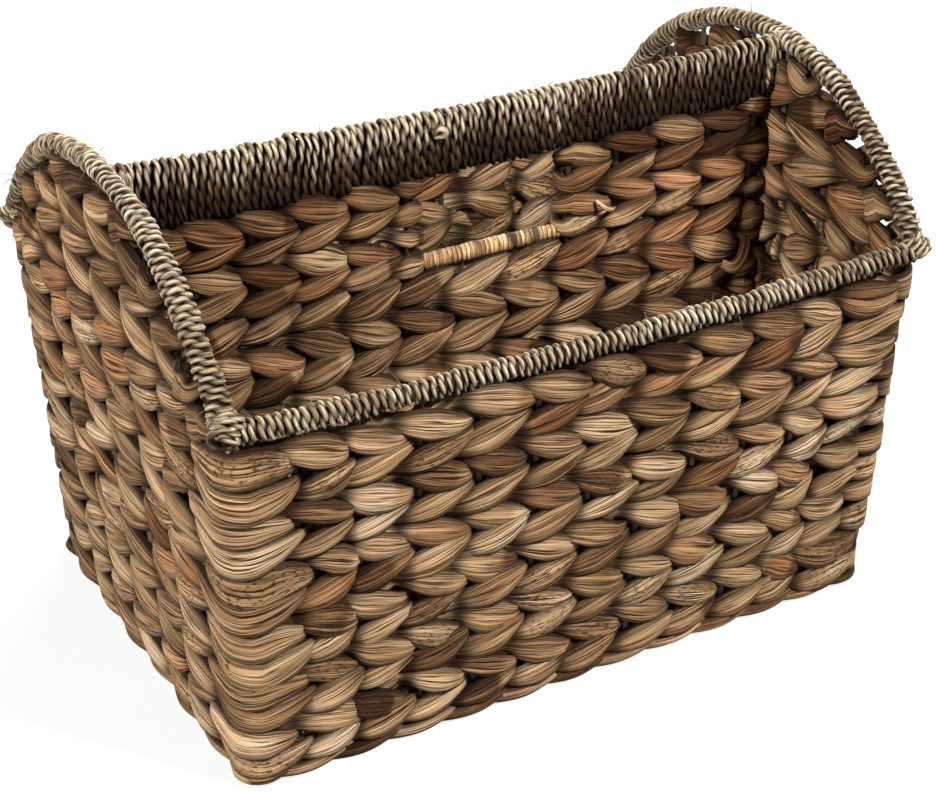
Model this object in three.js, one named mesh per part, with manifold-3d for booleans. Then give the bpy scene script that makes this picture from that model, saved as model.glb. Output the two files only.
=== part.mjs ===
// Magazine basket: walls twined from water hyacinth on a wire frame, arched gable ends,
// and a centre divider with a hand hole under a band wound with seagrass cord.
// Millimetres, +Z up, X along the width, the front toward -Y, origin at the bottom centre.

import * as THREE from 'three';
import { mergeVertices } from 'three/addons/utils/BufferGeometryUtils.js';
import Module from 'manifold-3d';

const wasm = await Module();
wasm.setup();

// Rim and floor, on the centre lines of the wires
const rimWidth = 400;
const rimDepth = 277;
const rimHeight = 212;
const rimSag = 5;
const archRise = 81;
const floorWidth = 380;
const floorDepth = 252;
const floorCornerRadius = 18;

// Clearance between pieces that touch
const clearance = 0.3;

// Frame wires
const wireRadius = 2;
const stakeRadius = 1.8;

// Twined courses of the walls and gables
const courseCount = 12;
const frontCells = 12;
const backCells = 9;
const endCells = 7;
const gableCourseCount = 5;
const strandThickness = 5;
const stakeAllowance = 0.4;
const postAllowance = 0.6;
const crossingHalfThickness = 1.2;
const strandGap = 0.6;

// Cord wraps of the rims and the floor border
const wrapRadius = 6.2;
const borderHeight = 9;
const borderWidth = 14;

// Divider, its hand hole and its wound band
const dividerSetback = 12;
const dividerLeftCells = 5;
const dividerHoleCells = 3;
const dividerRightCells = 4;
const handHoleCentre = 11.5;
const handHoleSpan = 100;
const barDrop = 6;
const barWrapRadius = 4.7;
const lowerCourseCount = 11;
const upperCourseCount = 4;
const bandRise = 47;
const bandHeight = 36;
const bandThickness = 13;
const bandSag = 5;
const bandTurns = 24;
const cordThickness = 3.5;
const turnGap = 0.7;

// Woven base and the bars below it
const baseThickness = 5;
const baseRowCount = 15;
const baseRib = 1.4;
const baseBarCount = 5;
const baseBarWidth = 3;
const baseBarLift = 0.6;

// Counts of straight steps along curves
const archSteps = 8;
const sagSteps = 4;
const cornerHalfSteps = 1;
const wireSides = 4;
const wrapCorners = 5;
const gapSamples = 4;

// Sizes that follow from the ones above
const stakeSeat = stakeRadius + stakeAllowance;
const strandReach = stakeSeat + strandThickness;
const wallTop = rimHeight - rimSag - wrapRadius - clearance;
const coursePitch = (wallTop - borderHeight - clearance) / courseCount;
const archRadius = ((rimDepth / 2) ** 2 + archRise ** 2) / (2 * archRise);
const archCentreHeight = rimHeight + archRise - archRadius;
const wireSeat = wireRadius + clearance;
const floorWireHeight = borderHeight / 2;
const barHeight = rimHeight - barDrop;
const bandBottom = rimHeight + bandRise;
const cornerInset = floorCornerRadius * (1 - Math.SQRT1_2);

const hyacinth = { color: 0x9c7748, roughness: 0.8, metalness: 0 };
const seagrass = { color: 0xb6a482, roughness: 0.85, metalness: 0 };
const raffia = { color: 0xc08a58, roughness: 0.75, metalness: 0 };
const wire = { color: 0x3a332c, roughness: 0.5, metalness: 0.8 };

const basket = new THREE.Group();
basket.name = 'magazine_basket';

function addPiece(name, geometry, look) {
  const mesh = new THREE.Mesh(geometry, new THREE.MeshStandardMaterial(look));
  mesh.name = name;
  basket.add(mesh);
}

// Joins rings of points into one closed body, either capped or closed on itself.
function sweep(rings, closed) {
  const size = rings[0].length;
  const points = rings.flat();
  const positions = points.flatMap((point) => [point.x, point.y, point.z]);
  const triangles = [];
  const spans = closed ? rings.length : rings.length - 1;
  for (let i = 0; i < spans; i += 1) {
    const here = i * size;
    const next = ((i + 1) % rings.length) * size;
    for (let k = 0; k < size; k += 1) {
      const a = here + k;
      const b = here + ((k + 1) % size);
      const c = next + ((k + 1) % size);
      const d = next + k;
      triangles.push(...splitQuad(points, a, b, c, d));
    }
  }
  if (!closed) {
    triangles.push(...capTriangles(rings[0], 0, true));
    triangles.push(...capTriangles(rings[rings.length - 1], (rings.length - 1) * size, false));
  }
  const geometry = new THREE.BufferGeometry();
  geometry.setAttribute('position', new THREE.Float32BufferAttribute(positions, 3));
  geometry.setIndex(signedVolume(positions, triangles) < 0 ? flipped(triangles) : triangles);
  return geometry;
}

// Two triangles over a four-sided face, split along its shorter diagonal.
function splitQuad(points, a, b, c, d) {
  const shortFirst = points[a].distanceTo(points[c]) <= points[b].distanceTo(points[d]);
  return shortFirst ? [a, b, c, a, c, d] : [a, b, d, b, c, d];
}

function capTriangles(ring, offset, reversed) {
  const normal = new THREE.Vector3();
  ring.forEach((point, i) => {
    normal.add(new THREE.Vector3().crossVectors(point, ring[(i + 1) % ring.length]));
  });
  normal.normalize();
  const along = new THREE.Vector3().subVectors(ring[1], ring[0]).normalize();
  const across = new THREE.Vector3().crossVectors(normal, along);
  const flat = ring.map((point) => new THREE.Vector2(point.dot(along), point.dot(across)));
  const faces = THREE.ShapeUtils.triangulateShape(flat, []);
  return faces.flatMap(([a, b, c]) => (reversed ? [a, c, b] : [a, b, c]).map((i) => i + offset));
}

function signedVolume(positions, triangles) {
  const point = (i) => new THREE.Vector3().fromArray(positions, i * 3);
  let sum = 0;
  for (let i = 0; i < triangles.length; i += 3) {
    const [a, b, c] = triangles.slice(i, i + 3).map(point);
    sum += a.dot(b.cross(c));
  }
  return sum;
}

function flipped(triangles) {
  return triangles.map((_, i) => triangles[i - (i % 3) + (2 - (i % 3))]);
}

// Solids for joining and cutting
function toSolid(geometry) {
  const bare = geometry.clone();
  bare.deleteAttribute('normal');
  bare.deleteAttribute('uv');
  const merged = mergeVertices(bare);
  const vertProperties = new Float32Array(merged.attributes.position.array);
  const triVerts = new Uint32Array(merged.index.array);
  return new wasm.Manifold(new wasm.Mesh({ numProp: 3, vertProperties, triVerts }));
}

function toGeometry(solid) {
  const mesh = solid.getMesh();
  const geometry = new THREE.BufferGeometry();
  geometry.setAttribute('position', new THREE.BufferAttribute(mesh.vertProperties, 3));
  geometry.setIndex(new THREE.BufferAttribute(mesh.triVerts, 1));
  return geometry;
}

function join(geometries) {
  return toGeometry(geometries.map(toSolid).reduce((sum, solid) => sum.add(solid)));
}

// A four-sided wire through points that lie in one plane; side is the plane's normal.
function wireThrough(points, radius, side) {
  const rings = points.map((point, i) => {
    const before = points[Math.max(i - 1, 0)];
    const after = points[Math.min(i + 1, points.length - 1)];
    const along = new THREE.Vector3().subVectors(after, before).normalize();
    const up = new THREE.Vector3().crossVectors(side, along);
    return Array.from({ length: wireSides }, (_, k) => {
      const angle = (k / wireSides) * 2 * Math.PI;
      return point.clone()
        .addScaledVector(up, radius * Math.cos(angle))
        .addScaledVector(side, radius * Math.sin(angle));
    });
  });
  return sweep(rings, false);
}

// A four-sided stake through points, with its edges toward the strands and its neighbours.
function stakeThrough(points, out) {
  const along = new THREE.Vector3().subVectors(points.at(-1), points[0]).normalize();
  const side = new THREE.Vector3().crossVectors(along, out).normalize();
  const corners = [[1, 0], [0, 1], [-1, 0], [0, -1]];
  const rings = points.map((point) => corners.map(([u, v]) => point.clone()
    .addScaledVector(out, u * stakeRadius)
    .addScaledVector(side, v * stakeRadius)));
  return sweep(rings, false);
}

// The middle surface of the walls: half sizes at a height, upright above the rim
function halfWidthAt(z) {
  return THREE.MathUtils.lerp(floorWidth, rimWidth, Math.min(z / rimHeight, 1)) / 2;
}

function halfDepthAt(z) {
  return THREE.MathUtils.lerp(floorDepth, rimDepth, Math.min(z / rimHeight, 1)) / 2;
}

const wallSides = [
  { name: 'front', cells: frontCells, along: [1, 0], out: [0, -1] },
  { name: 'right', cells: endCells, along: [0, 1], out: [1, 0] },
  { name: 'back', cells: backCells, along: [-1, 0], out: [0, 1] },
  { name: 'left', cells: endCells, along: [0, -1], out: [-1, 0] },
];

// A point on the wall's middle surface, moved outward by reach; share runs along the side.
function wallPoint(side, share, reach, z) {
  const [ax, ay] = side.along;
  const [ox, oy] = side.out;
  const half = new THREE.Vector2(halfWidthAt(z), halfDepthAt(z));
  const place = (2 * share - 1);
  const x = (ax * place + ox) * half.x;
  const y = (ay * place + oy) * half.y;
  return new THREE.Vector3(x + ox * reach, y + oy * reach, z);
}

// The same at the rounded corner where a side starts, clear of the thicker post
function cornerPoint(side, strandOffset, z) {
  const reach = strandOffset + Math.sign(strandOffset) * postAllowance;
  const sx = side.out[0] - side.along[0];
  const sy = side.out[1] - side.along[1];
  const offset = reach * Math.SQRT1_2 - cornerInset;
  return new THREE.Vector3(sx * (halfWidthAt(z) + offset), sy * (halfDepthAt(z) + offset), z);
}

// Stakes and the crossings between them, in turn round the basket
const wallStations = wallSides.flatMap((side) => Array.from({ length: 2 * side.cells }, (_, i) => (
  i === 0
    ? (reach, z) => cornerPoint(side, reach, z)
    : (reach, z) => wallPoint(side, i / (2 * side.cells), reach, z)
)));

// The strand's three-cornered section: [reach, height] of its upper, lower and outer corners.
// It is full and thick over a stake, and thin where it crosses above or below its partner.
function strandSection(place, halfHeight) {
  const low = strandGap / 2;
  const middle = (low + halfHeight) / 2;
  const thin = crossingHalfThickness;
  return {
    front: [[stakeSeat, halfHeight], [stakeSeat, -halfHeight], [strandReach, 0]],
    back: [[-strandReach, halfHeight], [-strandReach, -halfHeight], [-stakeSeat, 0]],
    below: [[-thin, -low], [-thin, -halfHeight], [thin, -middle]],
    above: [[-thin, halfHeight], [-thin, low], [thin, middle]],
  }[place];
}

// Where a strand is at a half step: over a stake at even steps, crossing at odd ones.
function strandPlace(step, startsInFront, twist) {
  const beforeInFront = (Math.floor(step / 2) % 2 === 0) === startsInFront;
  if (step % 2 === 0) {
    return beforeInFront ? 'front' : 'back';
  }
  return beforeInFront === (twist > 0) ? 'below' : 'above';
}

// A wall course: one strand that goes round twice, so that it twines with itself.
function wallCourse(height, halfHeight, twist) {
  const rings = Array.from({ length: 2 * wallStations.length }, (_, step) => {
    const station = wallStations[step % wallStations.length];
    const section = strandSection(strandPlace(step, true, twist), halfHeight);
    return section.map(([reach, rise]) => station(reach, height + rise));
  });
  return sweep(rings, true);
}

// A strip of courses between two end stakes: one strand, folded round them row by row.
// stations are (reach, z) functions at stakes and crossings, ways the unit way past each end,
// and foldReach how far past an end stake the strand turns back.
function twinedStrip(stations, ways, heights, halfHeight, firstTwist, foldReach) {
  const rings = [];
  const last = stations.length - 1;
  const place = (step, startsInFront, height, twist, upright) => {
    const section = strandSection(strandPlace(step, startsInFront, twist), halfHeight);
    const [upper, lower, outer] = section;
    const turned = upright ? [upper, lower, outer] : [lower, upper, outer];
    rings.push(turned.map(([reach, rise]) => stations[step](reach, height + rise)));
  };
  const fold = (step, way, height) => {
    const at = (distance, rise) => stations[step](0, height + rise)
      .addScaledVector(way, distance);
    const inner = foldReach - strandThickness;
    const middle = foldReach - strandThickness / 2;
    rings.push([at(foldReach, 0), at(inner, 0), at(middle, -strandThickness / 2)]);
  };
  heights.forEach((height, row) => {
    const twist = row % 2 === 0 ? firstTwist : -firstTwist;
    for (let step = 0; step <= last; step += 1) {
      place(step, true, height, twist, true);
    }
    fold(last, ways[1], height);
    for (let step = last; step >= 0; step -= 1) {
      place(step, false, height, twist, false);
    }
    if (row < heights.length - 1) {
      fold(0, ways[0], (height + heights[row + 1]) / 2);
    }
  });
  return sweep(rings, false);
}

const courseHalfHeight = (coursePitch - strandGap) / 2;
const courseHeights = Array.from({ length: courseCount }, (_, i) => (
  borderHeight + clearance + (i + 0.5) * coursePitch
));
courseHeights.forEach((height, i) => {
  const twist = i % 2 === 0 ? -1 : 1;
  const name = `wall_course_${String(i + 1).padStart(2, '0')}`;
  addPiece(name, wallCourse(height, courseHalfHeight, twist), hyacinth);
});

// Arches: the angle of an arch's end, and a point on it at a share of its length
const archEndAngle = Math.asin(rimDepth / 2 / archRadius);

function archPoint(x, share, reach) {
  const angle = archEndAngle * (2 * share - 1);
  const radius = archRadius + reach;
  return new THREE.Vector3(x, radius * Math.sin(angle), archCentreHeight + radius * Math.cos(angle));
}

function archHeightAt(y) {
  return archCentreHeight + Math.sqrt(archRadius ** 2 - y ** 2);
}

// Inner radius of an arch's wrap, on the straight steps that the wrap is made of
const archInner = (archRadius - wrapRadius) * Math.cos(archEndAngle / archSteps) - clearance;

// Gable courses fill an arch as far as its middle stakes leave room for a row
const endSpacing = rimDepth / endCells;
const middleStake = (endCells % 2) * endSpacing / 2;
const topRowHalf = middleStake + strandReach + clearance;
const gableTop = archCentreHeight + Math.sqrt(archInner ** 2 - topRowHalf ** 2);
const gableBottom = wallTop + clearance;
const gablePitch = (gableTop - gableBottom) / gableCourseCount;
const gableHalfHeight = (gablePitch - strandGap) / 2;

// Half the width under an arch's wrap at a height
function archRoomAt(z) {
  return Math.sqrt(archInner ** 2 - (z - archCentreHeight) ** 2);
}

// A gable course: round as many stakes as fit, and turned back at the arch's wrap
function gableCourse(side, height) {
  const room = archRoomAt(height + gableHalfHeight) - strandReach;
  const stakes = [];
  for (let i = 1; i < side.cells; i += 1) {
    if (Math.abs(i - side.cells / 2) * endSpacing <= room) {
      stakes.push(i);
    }
  }
  const stations = [];
  for (let i = stakes[0]; i <= stakes.at(-1); i += 0.5) {
    stations.push((reach, z) => wallPoint(side, i / side.cells, reach, z));
  }
  const lastStake = (stakes.at(-1) - side.cells / 2) * endSpacing;
  const foldReach = archRoomAt(height + strandThickness / 2) - lastStake;
  const along = new THREE.Vector3(...side.along, 0);
  const ways = [along.clone().negate(), along];
  const twist = side.name === 'left' ? 1 : -1;
  return twinedStrip(stations, ways, [height], gableHalfHeight, twist, foldReach);
}

const endSides = wallSides.filter((side) => side.out[1] === 0);
endSides.forEach((side) => {
  for (let i = 0; i < gableCourseCount; i += 1) {
    const height = gableBottom + (i + 0.5) * gablePitch;
    addPiece(`${side.name}_gable_course_${i + 1}`, gableCourse(side, height), hyacinth);
  }
});

// Front and back frame panels: a rim wire, and the stakes that hang from it
function rimDrop(x) {
  return rimSag * (1 - (2 * x / rimWidth) ** 2);
}

function rimPoints(y) {
  return Array.from({ length: sagSteps + 1 }, (_, i) => {
    const x = rimHalfLength * (2 * i / sagSteps - 1);
    return new THREE.Vector3(x, y, rimHeight - rimDrop(x));
  });
}

const faceNormal = new THREE.Vector3(0, 1, 0);
const rimHalfLength = rimWidth / 2 - wrapRadius - clearance;

function facePanel(side) {
  const y = side.out[1] * rimDepth / 2;
  const parts = [wireThrough(rimPoints(y), wireRadius, faceNormal)];
  const out = new THREE.Vector3(...side.out, 0);
  for (let i = 1; i < side.cells; i += 1) {
    const foot = wallPoint(side, i / side.cells, 0, floorWireHeight);
    const head = wallPoint(side, i / side.cells, 0, rimHeight);
    head.z -= rimDrop(head.x);
    parts.push(stakeThrough([foot, head], out));
  }
  return join(parts);
}

const faceSides = wallSides.filter((side) => side.out[1] !== 0);
faceSides.forEach((side) => addPiece(`${side.name}_frame_panel`, facePanel(side), wire));

// End frames: a hoop of corner posts and arch, a floor wire and the stakes between them
function endFrame(side) {
  const sign = side.out[0];
  const next = wallSides[(wallSides.indexOf(side) + 1) % wallSides.length];
  const post = (corner, z) => cornerPoint(corner, 0, z);
  const frontCorner = sign > 0 ? side : next;
  const backCorner = sign > 0 ? next : side;
  const arch = Array.from({ length: archSteps + 1 }, (_, i) => (
    archPoint(sign * rimWidth / 2, i / archSteps, 0)
  ));
  const hoop = [
    post(frontCorner, floorWireHeight),
    post(frontCorner, wallTop),
    ...arch,
    post(backCorner, wallTop),
    post(backCorner, floorWireHeight),
  ];
  const normal = new THREE.Vector3(1, 0, 0);
  const parts = [wireThrough(hoop, wireRadius, normal)];
  parts.push(wireThrough(floorArc(sign), wireRadius, new THREE.Vector3(0, 0, 1)));
  const out = new THREE.Vector3(...side.out, 0);
  for (let i = 1; i < side.cells; i += 1) {
    const share = i / side.cells;
    const head = wallPoint(side, share, 0, rimHeight);
    const top = head.clone().setZ(archHeightAt(head.y));
    parts.push(stakeThrough([wallPoint(side, share, 0, floorWireHeight), head, top], out));
  }
  return join(parts);
}

// The floor wire of an end, from corner post to corner post
function floorArc(sign) {
  const centreX = halfWidthAt(floorWireHeight) - floorCornerRadius;
  const centreY = halfDepthAt(floorWireHeight) - floorCornerRadius;
  const points = [];
  for (let i = 0; i <= cornerHalfSteps; i += 1) {
    const angle = -Math.PI / 4 * (1 - i / cornerHalfSteps);
    points.push(new THREE.Vector3(
      sign * (centreX + floorCornerRadius * Math.cos(angle)),
      -centreY + floorCornerRadius * Math.sin(angle),
      floorWireHeight,
    ));
  }
  const mirrored = points.map((point) => new THREE.Vector3(point.x, -point.y, point.z));
  return [...points, ...mirrored.reverse()];
}

endSides.forEach((side) => addPiece(`${side.name}_end_frame`, endFrame(side), wire));

// Wraps: a round section with a bore for the wire and a slot for the stakes.
// Each corner is [across, away from the slot] in the section's plane.
function wrapSection(radius) {
  const slot = stakeRadius + clearance;
  const bore = wireSeat;
  const slotEdge = Math.sqrt(radius ** 2 - slot ** 2);
  const outer = Array.from({ length: wrapCorners }, (_, i) => {
    const angle = (i / (wrapCorners - 1)) * Math.PI * 1.5 - Math.PI / 4;
    return [radius * Math.cos(angle), radius * Math.sin(angle)];
  });
  return [
    [slot, -slotEdge],
    ...outer,
    [-slot, -slotEdge],
    [-slot, -bore],
    [-bore, 0],
    [-bore, bore],
    [bore, bore],
    [bore, 0],
    [slot, -bore],
  ];
}

function rimWrap(side) {
  const y = side.out[1] * rimDepth / 2;
  const rings = rimPoints(y).map((point) => (
    wrapSection(wrapRadius).map(([across, away]) => (
      new THREE.Vector3(point.x, point.y + across, point.z + away)
    ))
  ));
  return sweep(rings, false);
}

function archWrap(side) {
  const x = side.out[0] * rimWidth / 2;
  const rings = Array.from({ length: archSteps + 1 }, (_, i) => (
    wrapSection(wrapRadius).map(([across, away]) => (
      archPoint(x, i / archSteps, away).setX(x + across)
    ))
  ));
  return sweep(rings, false);
}

faceSides.forEach((side) => addPiece(`${side.name}_rim_wrap`, rimWrap(side), seagrass));
endSides.forEach((side) => addPiece(`${side.name}_arch_wrap`, archWrap(side), seagrass));

// Floor border: a flat-footed bundle round the floor wires, slotted on top for the stakes
function borderSection() {
  const slot = stakeRadius + 2 * clearance;
  const half = borderWidth / 2;
  const chamfer = borderHeight / 4;
  const upper = floorWireHeight + wireSeat;
  const lower = floorWireHeight - wireSeat;
  return [
    [slot, borderHeight],
    [half - chamfer, borderHeight],
    [half, borderHeight / 2],
    [half - chamfer, 0],
    [chamfer - half, 0],
    [-half, borderHeight / 2],
    [chamfer - half, borderHeight],
    [-slot, borderHeight],
    [-wireSeat, upper],
    [-wireSeat, lower],
    [wireSeat, lower],
    [wireSeat, upper],
  ];
}

function floorBorder() {
  const centreX = halfWidthAt(floorWireHeight) - floorCornerRadius;
  const centreY = halfDepthAt(floorWireHeight) - floorCornerRadius;
  const quarter = [[1, -1, -90], [1, 1, 0], [-1, 1, 90], [-1, -1, 180]];
  const steps = 2 * cornerHalfSteps;
  const rings = quarter.flatMap(([sx, sy, start]) => (
    Array.from({ length: steps + 1 }, (_, i) => {
      const angle = THREE.MathUtils.degToRad(start + 90 * i / steps);
      return borderSection().map(([reach, z]) => {
        const radius = floorCornerRadius + reach;
        return new THREE.Vector3(
          sx * centreX + radius * Math.cos(angle),
          sy * centreY + radius * Math.sin(angle),
          z,
        );
      });
    })
  ));
  return sweep(rings, true);
}

addPiece('floor_border', floorBorder(), hyacinth);

// Woven base: rows along X inside the border, over cross bars
const baseBottom = baseBarLift + baseBarWidth + clearance;
const baseTop = baseBottom + baseThickness;

function baseOutline() {
  const inset = borderWidth / 2 + clearance;
  const halfX = halfWidthAt(floorWireHeight) - inset;
  const halfY = halfDepthAt(floorWireHeight) - inset;
  const round = floorCornerRadius - inset;
  const shape = new THREE.Shape();
  shape.absarc(halfX - round, -halfY + round, round, -Math.PI / 2, 0);
  shape.absarc(halfX - round, halfY - round, round, 0, Math.PI / 2);
  shape.absarc(-halfX + round, halfY - round, round, Math.PI / 2, Math.PI);
  shape.absarc(-halfX + round, -halfY + round, round, Math.PI, Math.PI * 1.5);
  return shape;
}

function baseRows() {
  const pitch = floorDepth / baseRowCount;
  const upper = [];
  for (let i = 0; i <= baseRowCount; i += 1) {
    const y = i * pitch - floorDepth / 2;
    upper.push([y, baseTop - baseRib]);
    if (i < baseRowCount) {
      upper.push([y + pitch / 2, baseTop]);
    }
  }
  const lower = upper.map(([y]) => [y, baseBottom]);
  const profile = [upper[0], ...upper.slice(1), lower.at(-1), lower[0]];
  const rings = [-floorWidth / 2, floorWidth / 2].map((x) => (
    profile.map(([y, z]) => new THREE.Vector3(x, y, z))
  ));
  return sweep(rings, false);
}

function baseWeave() {
  const outline = new THREE.ExtrudeGeometry(baseOutline(), {
    depth: baseTop,
    bevelEnabled: false,
    curveSegments: cornerHalfSteps,
  });
  return toGeometry(toSolid(outline).intersect(toSolid(baseRows())));
}

addPiece('base_weave', baseWeave(), hyacinth);

for (let i = 0; i < baseBarCount; i += 1) {
  const length = floorDepth - borderWidth - 2 * clearance;
  const bar = new THREE.BoxGeometry(baseBarWidth, length, baseBarWidth);
  const place = floorWidth * ((i + 1) / (baseBarCount + 1) - 0.5);
  bar.translate(place, 0, baseBarLift + baseBarWidth / 2);
  addPiece(`base_bar_${i + 1}`, bar, wire);
}

// Divider: its half length at a height leaves room for the folds at the end posts
const dividerFoot = baseTop - baseRib / 2 + clearance;

function dividerHalfAt(z) {
  return halfWidthAt(z) - strandReach - strandThickness - stakeSeat - clearance;
}

// The x of a stake, whose number may be a half at a crossing
function dividerX(number, z) {
  const half = dividerHalfAt(z);
  const holeStart = handHoleCentre - handHoleSpan / 2;
  const holeEnd = handHoleCentre + handHoleSpan / 2;
  const { lerp } = THREE.MathUtils;
  if (number <= dividerLeftCells) {
    return lerp(-half, holeStart, number / dividerLeftCells);
  }
  const afterHole = number - dividerLeftCells;
  if (afterHole <= dividerHoleCells) {
    return lerp(holeStart, holeEnd, afterHole / dividerHoleCells);
  }
  return lerp(holeEnd, half, (afterHole - dividerHoleCells) / dividerRightCells);
}

const holeFirst = dividerLeftCells;
const holeLast = dividerLeftCells + dividerHoleCells;
const dividerCells = holeLast + dividerRightCells;

function dividerStations(first, last) {
  const stations = [];
  for (let number = first; number <= last; number += 0.5) {
    stations.push((reach, z) => new THREE.Vector3(
      dividerX(number, z),
      -dividerSetback - reach,
      z,
    ));
  }
  return stations;
}

function bandDrop(x) {
  return bandSag * (1 - (2 * x / rimWidth) ** 2);
}

// Divider frame: floor wire, bar wire and stakes, the ones under the hole cut short
function dividerFrame() {
  const out = new THREE.Vector3(0, -1, 0);
  const footHeight = dividerFoot + wireRadius;
  const at = (number, z) => new THREE.Vector3(dividerX(number, z), -dividerSetback, z);
  const floorWire = [at(0, footHeight), at(dividerCells, footHeight)];
  const barWire = [at(holeFirst, barHeight), at(holeLast, barHeight)];
  const parts = [
    wireThrough(floorWire, wireRadius, faceNormal),
    wireThrough(barWire, wireRadius, faceNormal),
  ];
  for (let number = 0; number <= dividerCells; number += 1) {
    const inHole = number > holeFirst && number < holeLast;
    const underBand = bandBottom - bandDrop(dividerX(number, bandBottom)) - clearance;
    const top = inHole ? barHeight : underBand;
    parts.push(stakeThrough([at(number, footHeight), at(number, top)], out));
  }
  return join(parts);
}

addPiece('divider_frame', dividerFrame(), wire);

// Divider weave: one strip below the hole and one at each side of it
const lowerTop = barHeight - barWrapRadius - clearance;
const lowerBottom = dividerFoot + 2 * wireRadius + clearance;
const upperBottom = lowerTop + clearance;
const upperTop = bandBottom - bandSag - clearance;
const dividerWays = [new THREE.Vector3(-1, 0, 0), new THREE.Vector3(1, 0, 0)];

function dividerStrip(first, last, bottom, top, count, twist) {
  const pitch = (top - bottom) / count;
  const heights = Array.from({ length: count }, (_, i) => bottom + (i + 0.5) * pitch);
  const stations = dividerStations(first, last);
  const halfHeight = (pitch - strandGap) / 2;
  return twinedStrip(stations, dividerWays, heights, halfHeight, twist, strandReach);
}

const lowerStrip = dividerStrip(0, dividerCells, lowerBottom, lowerTop, lowerCourseCount, 1);
const leftStrip = dividerStrip(0, holeFirst, upperBottom, upperTop, upperCourseCount, 1);
const rightStrip = dividerStrip(holeLast, dividerCells, upperBottom, upperTop, upperCourseCount, 1);
addPiece('divider_weave_lower', lowerStrip, hyacinth);
addPiece('divider_weave_left', leftStrip, hyacinth);
addPiece('divider_weave_right', rightStrip, hyacinth);

// Raffia on the hand hole's bar, between the stakes at the hole's edges
function barWrap() {
  const ends = [
    dividerX(holeFirst, barHeight) + strandReach + clearance,
    dividerX(holeLast, barHeight) - strandReach - clearance,
  ];
  const rings = ends.map((x) => wrapSection(barWrapRadius).map(([across, away]) => (
    new THREE.Vector3(x, -dividerSetback + across, barHeight + away)
  )));
  return sweep(rings, false);
}

addPiece('hand_hole_bar_wrap', barWrap(), raffia);

// Band: a flat rail, and one cord wound round it from end to end
const bandHalfLength = rimWidth / 2 - strandReach - 2 * clearance;
const shoulderShare = 0.8;
const railHeight = shoulderShare * (bandHeight - 2 * cordThickness) - 2 * clearance;
const railThickness = bandThickness - 2 * cordThickness - 2 * clearance;

function bandRail() {
  const rings = Array.from({ length: sagSteps + 1 }, (_, i) => {
    const x = bandHalfLength * (2 * i / sagSteps - 1);
    const middle = bandBottom + bandHeight / 2 - bandDrop(x);
    return [[-1, -1], [1, -1], [1, 1], [-1, 1]].map(([v, w]) => (
      new THREE.Vector3(
        x,
        -dividerSetback + v * railThickness / 2,
        middle + w * railHeight / 2,
      )
    ));
  });
  return sweep(rings, false);
}

addPiece('band_rail', bandRail(), wire);

// Corners of one turn as shares of the band's half thickness and half height
const turnCornerShares = [
  [-1, shoulderShare],
  [0, 1],
  [1, shoulderShare],
  [1, -shoulderShare],
  [0, -1],
  [-1, -shoulderShare],
];
const turnStartShares = [-1, 0];
const bandPitch = 2 * bandHalfLength / (bandTurns + 1);

// A section of the winding, at a number of turns from the left end
function windingSection(turns, [v, w]) {
  const x = bandPitch * (turns - bandTurns / 2);
  const middle = bandBottom + bandHeight / 2 - bandDrop(x);
  const halfTurn = (bandPitch - turnGap) / 2;
  const outerY = v * bandThickness / 2;
  const outerZ = w * bandHeight / 2;
  const innerY = v * (bandThickness / 2 - cordThickness);
  const innerZ = w * (bandHeight / 2 - cordThickness);
  const at = (dx, y, z) => new THREE.Vector3(x + dx, -dividerSetback + y, middle + z);
  return [
    at(-halfTurn, innerY, innerZ),
    at(halfTurn, innerY, innerZ),
    at(0, outerY, outerZ),
  ];
}

// The winding starts and ends straight, half way up the flat front of the band.
const windingRings = [windingSection(0, turnStartShares)];
for (let turn = 0; turn < bandTurns; turn += 1) {
  turnCornerShares.forEach((shares, corner) => {
    windingRings.push(windingSection(turn + (corner + 0.5) / turnCornerShares.length, shares));
  });
}
windingRings.push(windingSection(bandTurns, turnStartShares));

// The least distance between points of the winding that lie half a turn or more apart
function leastSelfGap(rings, ringsPerTurn) {
  const fractions = Array.from({ length: gapSamples }, (_, i) => i / gapSamples);
  const samples = rings.slice(0, -1).flatMap((ring, i) => fractions.flatMap((fraction) => (
    ring.map((point, k) => ({
      turn: (i + fraction) / ringsPerTurn,
      point: point.clone().lerp(rings[i + 1][k], fraction),
    }))
  )));
  let least = Infinity;
  samples.forEach((one, i) => {
    samples.slice(i + 1).forEach((other) => {
      if (other.turn - one.turn >= 1 / 2) {
        least = Math.min(least, one.point.distanceTo(other.point));
      }
    });
  });
  return least;
}

const windingGap = leastSelfGap(windingRings, turnCornerShares.length);
console.log(`band winding: least gap to itself ${windingGap.toFixed(2)} mm`);
addPiece('band_winding', sweep(windingRings, false), seagrass);

export default basket;
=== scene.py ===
import math

import bpy
import numpy as np
from mathutils import Matrix, Vector


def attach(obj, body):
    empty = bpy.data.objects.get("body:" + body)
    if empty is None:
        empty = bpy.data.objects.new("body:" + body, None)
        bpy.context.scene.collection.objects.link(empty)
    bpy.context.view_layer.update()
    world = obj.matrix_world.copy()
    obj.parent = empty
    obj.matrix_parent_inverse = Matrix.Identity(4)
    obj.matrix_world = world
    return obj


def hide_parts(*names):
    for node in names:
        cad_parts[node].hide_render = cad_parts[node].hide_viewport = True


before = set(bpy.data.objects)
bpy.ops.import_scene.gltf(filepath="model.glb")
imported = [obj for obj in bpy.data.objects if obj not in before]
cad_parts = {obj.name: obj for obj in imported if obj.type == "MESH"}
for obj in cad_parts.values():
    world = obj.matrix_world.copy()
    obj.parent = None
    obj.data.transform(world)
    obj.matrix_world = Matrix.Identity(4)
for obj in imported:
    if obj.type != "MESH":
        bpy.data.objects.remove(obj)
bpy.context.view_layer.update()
scene = bpy.context.scene
mm = 0.001
print("frame loaded")

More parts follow.
